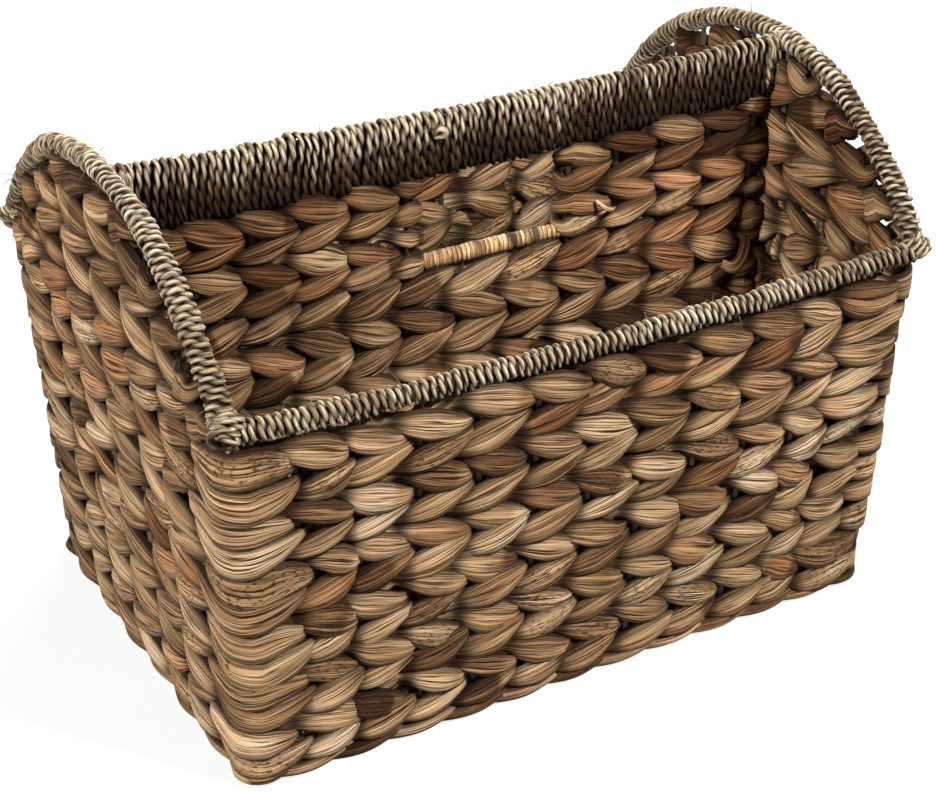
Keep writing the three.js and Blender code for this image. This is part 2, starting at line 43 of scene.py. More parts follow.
# camera first, so a stopped script still shows a view
view = {
    "place": (-508.7, -882.9, 676.0),  # mm from the bottom centre
    "yaw": 30.26,
    "pitch": 29.03,
    "roll": 0.354,
    "lens": 79.8,
}


def placed(name, data):
    made = bpy.data.objects.new(name, data)
    scene.collection.objects.link(made)
    return made


def makeCamera():
    data = bpy.data.cameras.new("camera")
    data.lens = view["lens"]
    data.sensor_width = 36
    data.clip_start = 0.05
    camera = placed("camera", data)
    yaw, pitch, roll = (math.radians(view[k]) for k in ("yaw", "pitch", "roll"))
    ahead = np.array([math.sin(yaw) * math.cos(pitch), math.cos(yaw) * math.cos(pitch), -math.sin(pitch)])
    right = np.array([math.cos(yaw), -math.sin(yaw), 0.0])
    up = np.cross(right, ahead)
    tiltedRight = math.cos(roll) * right + math.sin(roll) * up
    tiltedUp = math.cos(roll) * up - math.sin(roll) * right
    turn = Matrix([tiltedRight, tiltedUp, -ahead]).transposed().to_4x4()
    camera.matrix_world = Matrix.Translation([v * mm for v in view["place"]]) @ turn
    scene.camera = camera


makeCamera()
scene.view_settings.view_transform = "Standard"

# the basket's main sizes, mm
basket = {
    "rimWidth": 400.0,
    "rimDepth": 277.0,
    "rimHeight": 212.0,
    "rimSag": 5.0,
    "archRise": 81.0,
    "floorWidth": 380.0,
    "floorDepth": 252.0,
    "cornerRadius": 10.0,
    "rows": 12,
    "wallBottom": 9.3,
    "wallTop": 200.5,
    "frontCells": 12,
    "endCells": 7,
    "backCells": 9,
    "dividerY": -12.0,
}
rimX, rimY = basket["rimWidth"] / 2, basket["rimDepth"] / 2
archRadius = (rimY ** 2 + basket["archRise"] ** 2) / (2 * basket["archRise"])
archCentre = basket["rimHeight"] + basket["archRise"] - archRadius
archAngle = math.asin(rimY / archRadius)
rowPitch = (basket["wallTop"] - basket["wallBottom"]) / basket["rows"]


# smooth seeded wander of x, about -1 to 1, with detail down to span / waves
def drift(x, span, seed, waves=6):
    dice = np.random.default_rng(seed)
    total = np.zeros_like(np.asarray(x, float))
    for k in range(1, waves + 1):
        total += dice.normal() / k ** 0.6 * np.cos(2 * math.pi * k * x / span + dice.uniform(0, 6.28))
    return total / math.sqrt(sum(k ** -1.2 for k in range(1, waves + 1)) / 2) / 1.6


# one smooth mesh object from quads, in mm, riding on the root
def meshPiece(name, points, quads, uvs, tones, material, slot, nodes):
    data = bpy.data.meshes.new(name)
    data.vertices.add(len(points))
    data.vertices.foreach_set("co", (np.asarray(points) * mm).astype(np.float32).ravel())
    data.loops.add(quads.size)
    data.loops.foreach_set("vertex_index", quads.astype(np.int32).ravel())
    data.polygons.add(len(quads))
    data.polygons.foreach_set("loop_start", np.arange(0, quads.size, 4, dtype=np.int32))
    data.polygons.foreach_set("use_smooth", np.ones(len(quads), bool))
    data.update(calc_edges=True)
    data.uv_layers.new(name="strandMap").data.foreach_set("uv", uvs.astype(np.float32).ravel())
    layer = data.color_attributes.new("strandToneAndShade", "FLOAT_COLOR", "POINT")
    layer.data.foreach_set("color", tones.astype(np.float32).ravel())
    data.materials.append(material)
    data.validate()
    piece = placed(name, data)
    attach(piece, "root")
    if nodes:
        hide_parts(*nodes)


# how a strand's section is furrowed, and the painted shade that darkens it toward its upper and lower edges,
# where it meets the rows beside it
furrows = {"waves": ((3, 0.8), (5, 0.75), (8, 0.7)), "wander": 2.2, "turn": 1.4, "spacing": 90}
edgePaintedShade = {"rise": 0.86, "start": 0.33, "fall": 1.4, "depth": 0.95}
seedShift = 61.7  # mm by which each seed moves a strand's fibre pattern


# points, quads, uvs and tones of one tube: wide along out, tall along up
def tubeParts(centre, out, up, wide, tall, closed, tone, hue, vShift=0.0, groove=0.0, seed=0, sides=24,
              blunt=0.86, shade=None):
    count = len(centre)
    angle = np.arange(sides) / sides * 2 * math.pi
    power = np.broadcast_to(blunt, count)[:, None]
    cosA = np.sign(np.cos(angle)) * np.abs(np.cos(angle)) ** (power - 0.1)
    sinA = np.sign(np.sin(angle)) * np.abs(np.sin(angle)) ** power
    step = np.linalg.norm(np.diff(centre, axis=0, append=centre[:1] if closed else centre[-1:]), axis=1)
    along = np.concatenate([[0.0], np.cumsum(step)])
    across = wide[:, None] * cosA
    rise = tall[:, None] * sinA
    if groove:
        total = along[-1]
        swell = np.zeros((count, sides))
        for k, depth in furrows["waves"]:
            waves = max(4, int(total / furrows["spacing"]))
            wander = furrows["wander"] * drift(along[:count], total, seed + k, waves=waves)
            swell += depth * np.cos(k * angle[None, :] + wander[:, None] * furrows["turn"])
        swell = 1 + groove * swell / np.maximum(tall, wide)[:, None]
        across, rise = across * swell, rise * swell
    ring = centre[:, None, :] + across[..., None] * out[:, None, :] + rise[..., None] * up[:, None, :]
    points = ring.reshape(-1, 3)
    spans = count if closed else count - 1
    i, k = np.meshgrid(np.arange(spans), np.arange(sides), indexing="ij")
    nextI, nextK = (i + 1) % count, (k + 1) % sides
    quads = np.stack([i * sides + k, nextI * sides + k, nextI * sides + nextK, i * sides + nextK], -1)
    vHere, vNext = k / sides + vShift, (k + 1) / sides + vShift
    uHere, uNext = along[i] + seedShift * seed, along[i + 1] + seedShift * seed
    uvs = np.stack([np.stack([uHere, vHere], -1), np.stack([uNext, vHere], -1),
                    np.stack([uNext, vNext], -1), np.stack([uHere, vNext], -1)], 2)
    tones = np.ones((count, sides, 4))
    tones[..., 0] = tone[:, None]
    tones[..., 1] = hue[:, None]
    # painted shade: channel 2 darkens each tube toward its upper and lower edges, where it meets its
    # neighbours, times the shade it is given along its length
    edge = (np.abs(np.sin(angle)) ** edgePaintedShade["rise"] - edgePaintedShade["start"]) / (1 - edgePaintedShade["start"])
    edge = np.clip(edge, 0, 1) ** edgePaintedShade["fall"]
    tones[..., 2] = (1 - edgePaintedShade["depth"] * edge[None, :]) * (1 if shade is None else shade[:, None])
    quads = quads.reshape(-1, 4)
    uvs = uvs.reshape(-1, 4, 2)
    if not closed:
        capQuads, capUvs = endCaps(count, sides, along[-1])
        quads = np.concatenate([quads, capQuads])
        uvs = np.concatenate([uvs, capUvs])
    if signedVolume(points, quads) < 0:
        quads, uvs = quads[:, ::-1], uvs[:, ::-1]
    return points, quads, uvs, tones.reshape(-1, 4)


# quads over both end rings, as strips from side to side
def endCaps(count, sides, length):
    k = np.arange(sides // 2 - 1)
    first = np.stack([k, k + 1, sides - 2 - k, sides - 1 - k], -1)
    last = first[:, ::-1] + (count - 1) * sides
    quads = np.concatenate([first, last])
    uvs = np.zeros((len(quads), 4, 2))
    uvs[..., 0] = np.where(np.arange(len(quads)) < len(first), 0.0, length)[:, None]
    uvs[..., 1] = (quads % sides) / sides
    return quads, uvs


def signedVolume(points, quads):
    a, b, c, d = (points[quads[:, j]] for j in range(4))
    return np.einsum("ij,ij->i", a, np.cross(b, c)).sum() + np.einsum("ij,ij->i", a, np.cross(c, d)).sum()


# several tubes as one mesh's arrays
def joinParts(parts):
    offset, points, quads, uvs, tones = 0, [], [], [], []
    for p, q, u, t in parts:
        points.append(p)
        quads.append(q + offset)
        uvs.append(u)
        tones.append(t)
        offset += len(p)
    return np.concatenate(points), np.concatenate(quads), np.concatenate(uvs), np.concatenate(tones)


# directions across a strand that runs along a wall: outward and upward
def sectionFrame(centre, closed):
    if closed:
        tangent = np.roll(centre, -1, 0) - np.roll(centre, 1, 0)
    else:
        tangent = np.gradient(centre, axis=0)
    tangent /= np.linalg.norm(tangent, axis=1)[:, None]
    up = np.array([0.0, 0.0, 1.0]) - tangent * tangent[:, 2:3]
    up /= np.linalg.norm(up, axis=1)[:, None]
    return np.cross(tangent, up), up


# a tube whose section stands upright
def strand(centre, closed, wide, tall, tone, hue, **rest):
    return tubeParts(centre, *sectionFrame(centre, closed), wide, tall, closed, tone, hue, **rest)


def node(tree, kind, **settings):
    made = tree.nodes.new("ShaderNode" + kind)
    for name, value in settings.items():
        if name == "inputs":
            for key, given in value.items():
                if isinstance(given, bpy.types.NodeSocket):
                    tree.links.new(given, made.inputs[key])
                else:
                    made.inputs[key].default_value = given
        else:
            setattr(made, name, value)
    return made


def math2(tree, operation, a, b):
    return node(tree, "Math", operation=operation, inputs={0: a, 1: b}).outputs[0]


def ramp(tree, factor, stops):
    made = node(tree, "ValToRGB", inputs={0: factor})
    elements = made.color_ramp.elements
    while len(elements) < len(stops):
        elements.new(0.5)
    for element, (place, colour) in zip(elements, stops):
        element.position = place
        element.color = (*colour, 1)
    return made.outputs[0]


def mixColour(tree, factor, a, b, blend="MIX"):
    made = node(tree, "Mix", data_type="RGBA", blend_type=blend)
    for socket, given in ((made.inputs[0], factor), (made.inputs[6], a), (made.inputs[7], b)):
        if isinstance(given, bpy.types.NodeSocket):
            tree.links.new(given, socket)
        elif isinstance(given, tuple):
            socket.default_value = (*given, 1)
        else:
            socket.default_value = given
    return made.outputs[2]


def newMaterial(name):
    material = bpy.data.materials.new(name)
    material.use_nodes = True
    return material, material.node_tree


# dry plant fibre: tone from the strand, streaks along it, dark cracks, painted shade from the strand's shade
# channel and a fine relief
def fibreMaterial(name, looks):
    material, tree = newMaterial(name)
    shader = tree.nodes["Principled BSDF"]
    # the strand's tone, its hue, and in channel 2 its painted shade
    tone = node(tree, "Attribute", attribute_name="strandToneAndShade")
    channels = node(tree, "SeparateColor", inputs={0: tone.outputs["Color"]})
    place = node(tree, "UVMap", uv_map="strandMap")
    parts = node(tree, "SeparateXYZ", inputs={0: place.outputs[0]})
    turnAngle = math2(tree, "MULTIPLY", parts.outputs[1], 2 * math.pi)
    roundX = math2(tree, "COSINE", turnAngle, 0.0)
    roundY = math2(tree, "SINE", turnAngle, 0.0)

    # noise drawn out along the strand: lines about length mm long
    def streaks(fineness, length, detail, rough):
        onward = math2(tree, "MULTIPLY", parts.outputs[0], 1 / length)
        across = [math2(tree, "MULTIPLY", side, fineness) for side in (roundX, roundY)]
        place3 = node(tree, "CombineXYZ", inputs={0: onward, 1: across[0], 2: across[1]})
        given = {"Vector": place3.outputs[0], "Scale": 1.0, "Detail": detail, "Roughness": rough}
        return node(tree, "TexNoise", inputs=given).outputs[0]

    broad = streaks(*looks["broadStreaks"], 1.0, 0.5)
    middle = streaks(*looks["middleStreaks"], 2.0, 0.55)
    lines = streaks(*looks["lineStreaks"], 0.6, 0.5)
    fine = streaks(*looks["fineStreaks"], 2.0, 0.6)
    patchPlace = node(tree, "TexCoord").outputs["Object"]
    given = {"Vector": patchPlace, "Scale": looks["patchScale"], "Detail": 3.0}
    patches = node(tree, "TexNoise", inputs=given)
    spread = math2(tree, "MULTIPLY", math2(tree, "SUBTRACT", broad, 0.5), looks["broadSpread"])
    spread2 = math2(tree, "MULTIPLY", math2(tree, "SUBTRACT", middle, 0.5), looks["middleSpread"])
    level = math2(tree, "ADD", channels.outputs[0], math2(tree, "ADD", spread, spread2))
    base = ramp(tree, level, looks["colours"])
    olive = ramp(tree, patches.outputs[0], [(0.42, (0, 0, 0)), (0.62, (1, 1, 1))])
    oliveShare = math2(tree, "MULTIPLY", olive, looks["oliveShare"])
    tinted = mixColour(tree, oliveShare, base, looks["olive"], "MULTIPLY")
    redShare = ramp(tree, channels.outputs[1], [(0.78, (0, 0, 0)), (0.9, (1, 1, 1))])
    redShare = math2(tree, "MULTIPLY", redShare, looks["redShare"])
    redder = mixColour(tree, redShare, tinted, looks["red"], "MULTIPLY")
    offLine = math2(tree, "ABSOLUTE", math2(tree, "SUBTRACT", lines, 0.5), 0.0)
    crack = ramp(tree, offLine, [(0.004, (0, 0, 0)), (looks["lineWidth"], (1, 1, 1))])
    given = {0: broad, 1: 0.35, 2: 0.65, 3: looks["leastCrack"] * looks["crack"], 4: looks["crack"]}
    deep = node(tree, "MapRange", inputs=given)
    crackDepth = math2(tree, "MULTIPLY", math2(tree, "SUBTRACT", 1.0, crack), deep.outputs[0])
    crackShade = math2(tree, "SUBTRACT", 1.0, crackDepth)
    fineShade = ramp(tree, fine, [(0.38, looks["fineColour"]), (0.48, (1, 1, 1))])
    shaded = mixColour(tree, looks["fineShare"], redder, fineShade, "MULTIPLY")
    lined = mixColour(tree, crackShade, looks["crackAndShadeColour"], shaded)
    speck = ramp(tree, streaks(*looks["speckStreaks"], 1.0, 0.6), [(0.56, (0, 0, 0)), (0.62, (1, 1, 1))])
    speckled = ramp(tree, channels.outputs[1], [(0.1, (1, 1, 1)), (0.16, (0, 0, 0))])
    speckShare = math2(tree, "MULTIPLY", math2(tree, "MULTIPLY", speck, speckled), looks["specks"])
    lined = mixColour(tree, speckShare, lined, looks["crackAndShadeColour"])
    # painted shade: the strand's shade channel darkens the colour toward the crack colour
    dark = mixColour(tree, channels.outputs[2], looks["crackAndShadeColour"], lined)
    tree.links.new(dark, shader.inputs["Base Color"])
    relief = math2(tree, "ADD", middle, math2(tree, "MULTIPLY", fine, 0.5))
    relief = math2(tree, "ADD", relief, math2(tree, "MULTIPLY", crack, 0.35))
    given = {"Strength": looks["bump"], "Distance": looks["relief"] * mm, "Height": relief}
    bump = node(tree, "Bump", inputs=given)
    tree.links.new(bump.outputs[0], shader.inputs["Normal"])
    given = {0: middle, 1: 0.3, 2: 0.7, 3: looks["rough"][1], 4: looks["rough"][0]}
    roughness = node(tree, "MapRange", inputs=given)
    tree.links.new(roughness.outputs[0], shader.inputs["Roughness"])
    shader.inputs["Specular IOR Level"].default_value = looks["specular"]
    return material


hyacinthLooks = {
    "colours": [(0.0, (0.057, 0.027, 0.012)), (0.2, (0.152, 0.075, 0.034)), (0.4, (0.355, 0.2, 0.094)),
                (0.6, (0.6, 0.37, 0.196)), (0.8, (0.76, 0.52, 0.32)), (1.0, (0.85, 0.635, 0.44))],
    "olive": (0.76, 0.8, 0.76),
    "oliveShare": 0.7,
    "red": (0.72, 0.49, 0.37),
    "redShare": 0.7,
    "crackAndShadeColour": (0.016, 0.007, 0.003),
    "crack": 1.0,
    "leastCrack": 0.45,  # share of its depth that a crack keeps where it fades
    "fineColour": (0.13, 0.08, 0.045),
    "lineWidth": 0.055,
    "fineShare": 1.0,
    "broadSpread": 0.5,
    "middleSpread": 0.95,
    "broadStreaks": (1.2, 60.0),
    "middleStreaks": (4.0, 50.0),
    "lineStreaks": (8.0, 70.0),
    "fineStreaks": (11.0, 45.0),
    "speckStreaks": (9.0, 3.5),
    "patchScale": 9.0,
    "bump": 0.9,
    "relief": 1.1,
    "rough": (0.55, 0.85),
    "specular": 0.07,
    "specks": 0.75,
}
seagrassLooks = dict(hyacinthLooks, **{
    "colours": [(0.0, (0.104, 0.068, 0.039)), (0.25, (0.26, 0.182, 0.11)), (0.5, (0.48, 0.36, 0.23)),
                (0.75, (0.69, 0.545, 0.37)), (1.0, (0.86, 0.71, 0.53))],
    "olive": (0.88, 0.9, 0.84),
    "oliveShare": 0.5,
    "red": (0.92, 0.8, 0.68),
    "redShare": 0.5,
    "crackAndShadeColour": (0.024, 0.014, 0.007),
    "crack": 0.9,
    "lineWidth": 0.05,
    "fineShare": 0.95,
    "broadSpread": 0.4,
    "middleSpread": 0.5,
    "broadStreaks": (1.0, 20.0),
    "middleStreaks": (2.2, 14.0),
    "lineStreaks": (1.6, 14.0),
    "fineStreaks": (5.0, 8.0),
    "speckStreaks": (3.0, 3.0),
    "patchScale": 14.0,
    "bump": 0.8,
    "relief": 0.4,
    "rough": (0.6, 0.9),
    "specks": 0.0,
})
bandLooks = dict(seagrassLooks, colours=[
    (0.0, (0.023, 0.013, 0.006)), (0.3, (0.078, 0.047, 0.026)), (0.55, (0.208, 0.138, 0.084)),
    (0.8, (0.47, 0.35, 0.234)), (1.0, (0.77, 0.63, 0.45))])
raffiaLooks = dict(seagrassLooks, colours=[
    (0.0, (0.23, 0.115, 0.05)), (0.4, (0.54, 0.295, 0.14)), (0.7, (0.78, 0.48, 0.25)),
    (1.0, (0.92, 0.66, 0.4))])
hyacinth = fibreMaterial("dried water hyacinth", hyacinthLooks)
seagrass = fibreMaterial("pale seagrass cord", seagrassLooks)
brownSeagrass = fibreMaterial("brown seagrass cord", bandLooks)
raffia = fibreMaterial("tan raffia", raffiaLooks)


wireLooks = {"brown": (0.045, 0.032, 0.02), "rust": (0.11, 0.07, 0.04), "rustScale": 90.0, "rough": 0.6,
             "metallic": 0.2}


# browned wire with a little rust
def wireMaterial():
    material, tree = newMaterial("browned wire")
    shader = tree.nodes["Principled BSDF"]
    place = node(tree, "TexCoord").outputs["Object"]
    rust = node(tree, "TexNoise", inputs={"Vector": place, "Scale": wireLooks["rustScale"], "Detail": 4.0})
    colour = ramp(tree, rust.outputs[0], [(0.4, wireLooks["brown"]), (0.65, wireLooks["rust"])])
    tree.links.new(colour, shader.inputs["Base Color"])
    shader.inputs["Roughness"].default_value = wireLooks["rough"]
    shader.inputs["Metallic"].default_value = wireLooks["metallic"]
    return material


wire = wireMaterial()
print("materials made")


# half a side of the wall's middle surface at a height, from its sizes at the floor and the rim
def halfAt(z, floorSize, rimSize):
    return (floorSize + (rimSize - floorSize) * np.minimum(z / basket["rimHeight"], 1)) / 2


def halfWidthAt(z):
    return halfAt(z, basket["floorWidth"], basket["rimWidth"])


def halfDepthAt(z):
    return halfAt(z, basket["floorDepth"], basket["rimDepth"])


sideCells = [basket["frontCells"], basket["endCells"], basket["backCells"], basket["endCells"]]
sideAlong = np.array([[1, 0], [0, 1], [-1, 0], [0, -1]], float)
sideOut = np.array([[0, -1], [1, 0], [0, 1], [-1, 0]], float)
stakeCount = sum(sideCells)


# points on the wall: station counts stakes from the front left corner
def wallPlace(station, reach, z):
    station = np.mod(station, stakeCount)
    starts = np.concatenate([[0], np.cumsum(sideCells)[:-1]])
    side = np.searchsorted(starts, station, side="right") - 1
    cells = np.array(sideCells)[side]
    local = station - starts[side]
    width, depth = halfWidthAt(z), halfDepthAt(z)
    half = np.where(side % 2 == 0, width, depth)
    other = np.where(side % 2 == 0, depth, width)
    radius = basket["cornerRadius"]
    eighth = radius * math.pi / 4
    length = 2 * (half - radius) + 2 * eighth
    straight = 2 * half * local / cells - radius + eighth
    firstStop = 2 * half / cells - radius + eighth
    run = np.where(local < 1, firstStop * local, straight)
    run = np.where(local > cells - 1, length - firstStop * (cells - local), run)
    before = np.clip(eighth - run, 0, None) / radius
    after = np.clip(run - (length - eighth), 0, None) / radius
    turn = after - before
    onward = np.clip(run - eighth, 0, 2 * (half - radius)) - (half - radius) + radius * np.sin(turn)
    outward = other - radius + radius * np.cos(turn)
    normal = sideOut[side] * np.cos(turn)[:, None] + sideAlong[side] * np.sin(turn)[:, None]
    flat = sideAlong[side] * onward[:, None] + sideOut[side] * outward[:, None] + normal * reach[:, None]
    return np.column_stack([flat, z])


# twined strands: a long pointed leaf outside, its tip laid over the next leaf's start
# each curve is (phase in cells, value); phase 0 is the stake it passes outside, 1 the one inside
twining = {
    "reach": [(-0.36, 0.0), (-0.15, 3.0), (0.1, 4.7), (0.4, 4.7), (0.62, 3.5), (0.73, 2.2), (0.82, 0.0),
              (0.94, -3.0), (1.12, -4.7), (1.35, -4.2), (1.5, -2.4), (1.64, 0.0)],
    "rise": [(-0.5, -5.0), (-0.25, -3.9), (0.0, -1.7), (0.25, 0.9), (0.5, 3.5), (0.66, 4.7), (0.8, 5.3),
             (0.95, 4.0), (1.15, 0.7), (1.35, -2.8), (1.5, -5.0)],
    "halfTall": [(-0.42, 4.2), (-0.3, 5.2), (-0.18, 6.3), (0.0, 8.0), (0.2, 8.8), (0.42, 7.7), (0.62, 5.5),
                 (0.76, 4.0), (0.84, 3.5), (0.92, 5.0), (1.02, 7.4), (1.15, 8.6), (1.3, 7.9), (1.48, 5.6)],
    "halfThick": [(-0.5, 2.4), (0.0, 2.7), (0.25, 2.8), (0.7, 2.3), (0.9, 2.3), (1.2, 2.8)],
    # shade is painted shade: dark where the leaf's start lies under the last tip and where the strand dives
    # under at the neck, full over the open leaf
    "shade": [(-0.38, 0.04), (-0.27, 0.2), (-0.14, 0.92), (0.05, 1.0), (0.64, 1.0), (0.74, 0.8), (0.84, 0.06),
              (0.93, 0.3), (1.05, 1.0), (1.42, 1.0), (1.52, 0.7)],
    "stepsPerCell": 20,
    "rowPitch": 15.93,  # mm, the row pitch that these curves are drawn for
    "neck": 0.82,  # phase at which the strand is hidden
    "groove": 0.4,
    "blunt": 0.74,
    "tallVary": 0.12,
    "thickVary": 0.12,
    "reachVary": 0.1,
    "riseVary": 1.0,
}


# a curve of period 2 cells through its points, rounded off
def loopCurve(points, phase):
    fine = np.linspace(0, 2, 201)[:-1]
    places, values = zip(*points)
    rough = np.interp(fine, places, values, period=2)
    window = np.hanning(15)
    soft = np.convolve(np.concatenate([rough[-7:], rough, rough[:7]]), window / window.sum(), mode="valid")
    return np.interp(phase, fine, soft, period=2)


# reach, rise, half height, half thickness and painted shade of a strand at each phase
# facing is -1 where the leaf tips point back along the strand; shown is the phase its curves are read at
def twine(phase, start, twist, tallShare, seed, level=0.0, period=64, facing=1, shown=None):
    own = phase + start
    read = own if shown is None else shown
    reach, rise, tall, thick, shade = (loopCurve(twining[k], read)
                                       for k in ("reach", "rise", "halfTall", "halfThick", "shade"))
    # leaves change over at the necks
    onward = facing * own
    cycle = np.floor((onward + 0.5) / 2)
    inCycle = onward + 0.5 - 2 * cycle
    warped = 2 * cycle + np.interp(inCycle, [0, 1.45, 2], [0, 1, 2])
    blend = facing * smoothStep(warped - np.floor(warped) - 0.5)
    leaf = (facing * np.floor(warped)).astype(int)
    dice = np.random.default_rng(seed)
    jitter = dice.normal(0, 1, (4, period))

    def vary(row):
        here, after, before = (np.take(jitter[row], leaf + step, mode="wrap") for step in (0, 1, -1))
        nearby = np.where(blend >= 0, after, before)
        return here + (nearby - here) * np.abs(blend) / 2

    tall = tall * (1 + twining["tallVary"] * vary(0)) * tallShare
    tall = tall * (1 + corners["taller"] * level)
    thick = thick * (1 + twining["thickVary"] * vary(1)) * (1 - corners["thinner"] * level)
    reach = reach * (1 + twining["reachVary"] * vary(2))
    rise = twist * rise * tallShare * (1 - level) + twining["riseVary"] * vary(3)
    return reach, rise, tall, thick, shade


# -1 to 1 over the outer parts of a cell, 0 in the middle
def smoothStep(offset):
    size = np.clip((np.abs(offset) - 0.35) / 0.15, 0, 1)
    return np.sign(offset) * size * size * (3 - 2 * size)


# stem lengths in cells, how leaves of one stem differ in tone, and how many are dark and by how much
stems = {"length": (1.6, 5.5), "splice": 0.85, "leafSpread": 0.07, "darkShare": 0.06, "darker": 0.28}


# tone and hue along a strand, spliced from stems some cells long
def stemTones(count, phase, seed, low=0.34, high=0.7):
    dice = np.random.default_rng(seed + 501)
    ends = np.round(np.cumsum(dice.uniform(*stems["length"], count))) + stems["splice"]
    tones = np.clip(dice.normal((low + high) / 2, (high - low) / 3, count + 1), low - 0.2, high + 0.06)
    hues = dice.random(count + 1)
    start = phase - phase.min()
    fine = np.linspace(0, start.max(), 4000)
    stem = np.minimum(np.searchsorted(ends, fine), count)
    leafDice = np.random.default_rng(seed + 77)
    leafCount = int(start.max()) + 3
    leafTones = leafDice.normal(0, stems["leafSpread"], leafCount)
    leafTones = leafTones - stems["darker"] * (leafDice.random(leafCount) < stems["darkShare"])
    level = tones[stem] + leafTones[np.floor(fine + 0.5).astype(int)]
    soft = np.ones(9) / 9
    level = np.convolve(np.pad(level, 4, mode="edge"), soft, mode="valid")
    hue = np.convolve(np.pad(hues[stem], 4, mode="edge"), soft, mode="valid")
    return np.interp(start, fine, level), np.interp(start, fine, hue)


# how far the rows wander up and down together, mm; they lie even near the foot and the rim
unevenness = {"height": 1.5, "lean": 0.015, "seed": 11, "waves": 9, "footFade": 60, "rimFade": 30,
              "rimLift": 4}


def wallUnevenness(station, z):
    leaning = station + unevenness["lean"] * z
    wander = drift(leaning, stakeCount, unevenness["seed"], waves=unevenness["waves"])
    atFoot = np.clip(z / unevenness["footFade"], 0, 1)
    atRim = np.clip((basket["rimHeight"] + unevenness["rimLift"] - z) / unevenness["rimFade"], 0, 1)
    return unevenness["height"] * wander * atFoot * atRim


# how strands turn the corners: drawn out, level, flatter, and of one even tone; distances are in cells
corners = {
    "stretch": 0.24,
    "reach": 2.0,
    "level": 0.85,
    "levelSpan": 0.6,
    "soft": 0.15,
    "uneven": 0.28,
    "dip": 6.0,  # mm that the middle rows meet lower at the front left corner
    "dipSpan": 0.7,
    "taller": 0.08,
    "thinner": 0.4,
    "sharper": 0.3,
    "tone": 0.5,
    "toneShare": 0.6,
    "lessHue": 0.6,
}


# how far a strand's cells are drawn out round the corners, and how level it lies there
def atCorners(station):
    starts = np.concatenate([[0], np.cumsum(sideCells)])
    shift, level = np.zeros_like(station), np.zeros_like(station)
    for corner in starts:
        away = station - corner
        near = np.clip(np.abs(away) / corners["reach"], 0, 1)
        shift += corners["stretch"] * np.sin(math.pi * near) * np.sign(away)
        level = np.maximum(level, corners["level"] * np.exp(-(away / corners["levelSpan"]) ** 2))
    return shift, level


# on the left end the tips point to the back, so the strand is read backwards there
def leftEndMirror(phase):
    lap = np.floor(phase / stakeCount) * stakeCount
    station = phase - lap
    turnBack = stakeCount - basket["endCells"]
    facing = np.where(station > turnBack, -1, 1)
    nearer = np.where(station < turnBack + basket["endCells"] / 2, turnBack, stakeCount)
    corner = lap + np.where(station < turnBack / 2, 0, nearer)
    away = np.sqrt((phase - corner) ** 2 + corners["soft"] ** 2)
    return facing, corner + np.where(corner - lap == turnBack, -away, away)


# the wider cells of the ends and the back lie flatter and fuller than the front's
sideStations = [0, 11.5, 12.5, 18.5, 19.5, 27.5, 28.5, 34.5, 35]
relief = (sideStations, [0.95, 1, 0.85, 0.85, 0.9, 0.9, 0.85, 0.85, 0.95])
fullness = (sideStations, [1, 1, 1.06, 1.06, 1.08, 1.08, 1.06, 1.06, 1])


rowStart = 24.95  # cells from the front left corner; the seam is hidden in the back wall
rowDrift = 0.1  # cells by which the stakes seem to wander


# one wall row: a strand that goes round twice and twines with itself
def wallCourse(number):
    height = basket["wallBottom"] + (number + 0.5) * rowPitch
    steps = 2 * stakeCount * twining["stepsPerCell"]
    phase = rowStart + np.arange(steps) / twining["stepsPerCell"]
    station = phase % stakeCount
    seed = 100 + number * 7
    shift, level = atCorners(station)
    facing, shown = leftEndMirror(phase)
    reach, rise, tall, thick, shade = twine(phase, 0, (-1) ** number, rowPitch / twining["rowPitch"], seed,
                                            level, 2 * stakeCount, facing, shown)
    cell = phase + shift + rowDrift * drift(phase, 2 * stakeCount, seed + 3, waves=30)
    uneven = np.random.default_rng(seed + 9).uniform(-1, 1, 5)
    for corner, amount in zip(np.cumsum([0] + sideCells), uneven[[0, 1, 2, 3, 0]]):
        cell = cell + corners["uneven"] * amount * np.exp(-(station - corner) ** 2)
    reach, tall = reach * np.interp(station, *relief), tall * np.interp(station, *fullness)
    z = height + rise + wallUnevenness(station, height + 0 * phase)
    fromCorner = np.abs((phase + stakeCount / 2) % stakeCount - stakeCount / 2)
    midway = math.sqrt(math.sin(math.pi * (number + 0.5) / basket["rows"]))
    z = z - corners["dip"] * midway * np.exp(-fromCorner / corners["dipSpan"])
    centre = wallPlace(cell, reach, z)
    tone, hue = stemTones(60, phase, seed)
    tone = tone + corners["toneShare"] * level * (corners["tone"] - tone)
    hue = hue * (1 - corners["lessHue"] * level)
    return strand(centre, True, thick, tall, tone, hue, groove=twining["groove"], seed=seed,
                  blunt=twining["blunt"] - corners["sharper"] * level, shade=shade)


for number in range(basket["rows"]):
    name = f"wall_course_{number + 1:02d}"
    meshPiece(f"wallRow{number + 1:02d}", *wallCourse(number), hyacinth, "water_hyacinth", [name])
print("wall rows twined")


# how a straight row turns back round its last stake, and how much redder and darker it is than the walls; the
# darker tones are painted shade for the divider inside the basket, and the gable rows take the same tones
folding = {"steps": 19, "narrower": 0.45, "huePower": 0.6, "tones": (0.22, 0.6)}


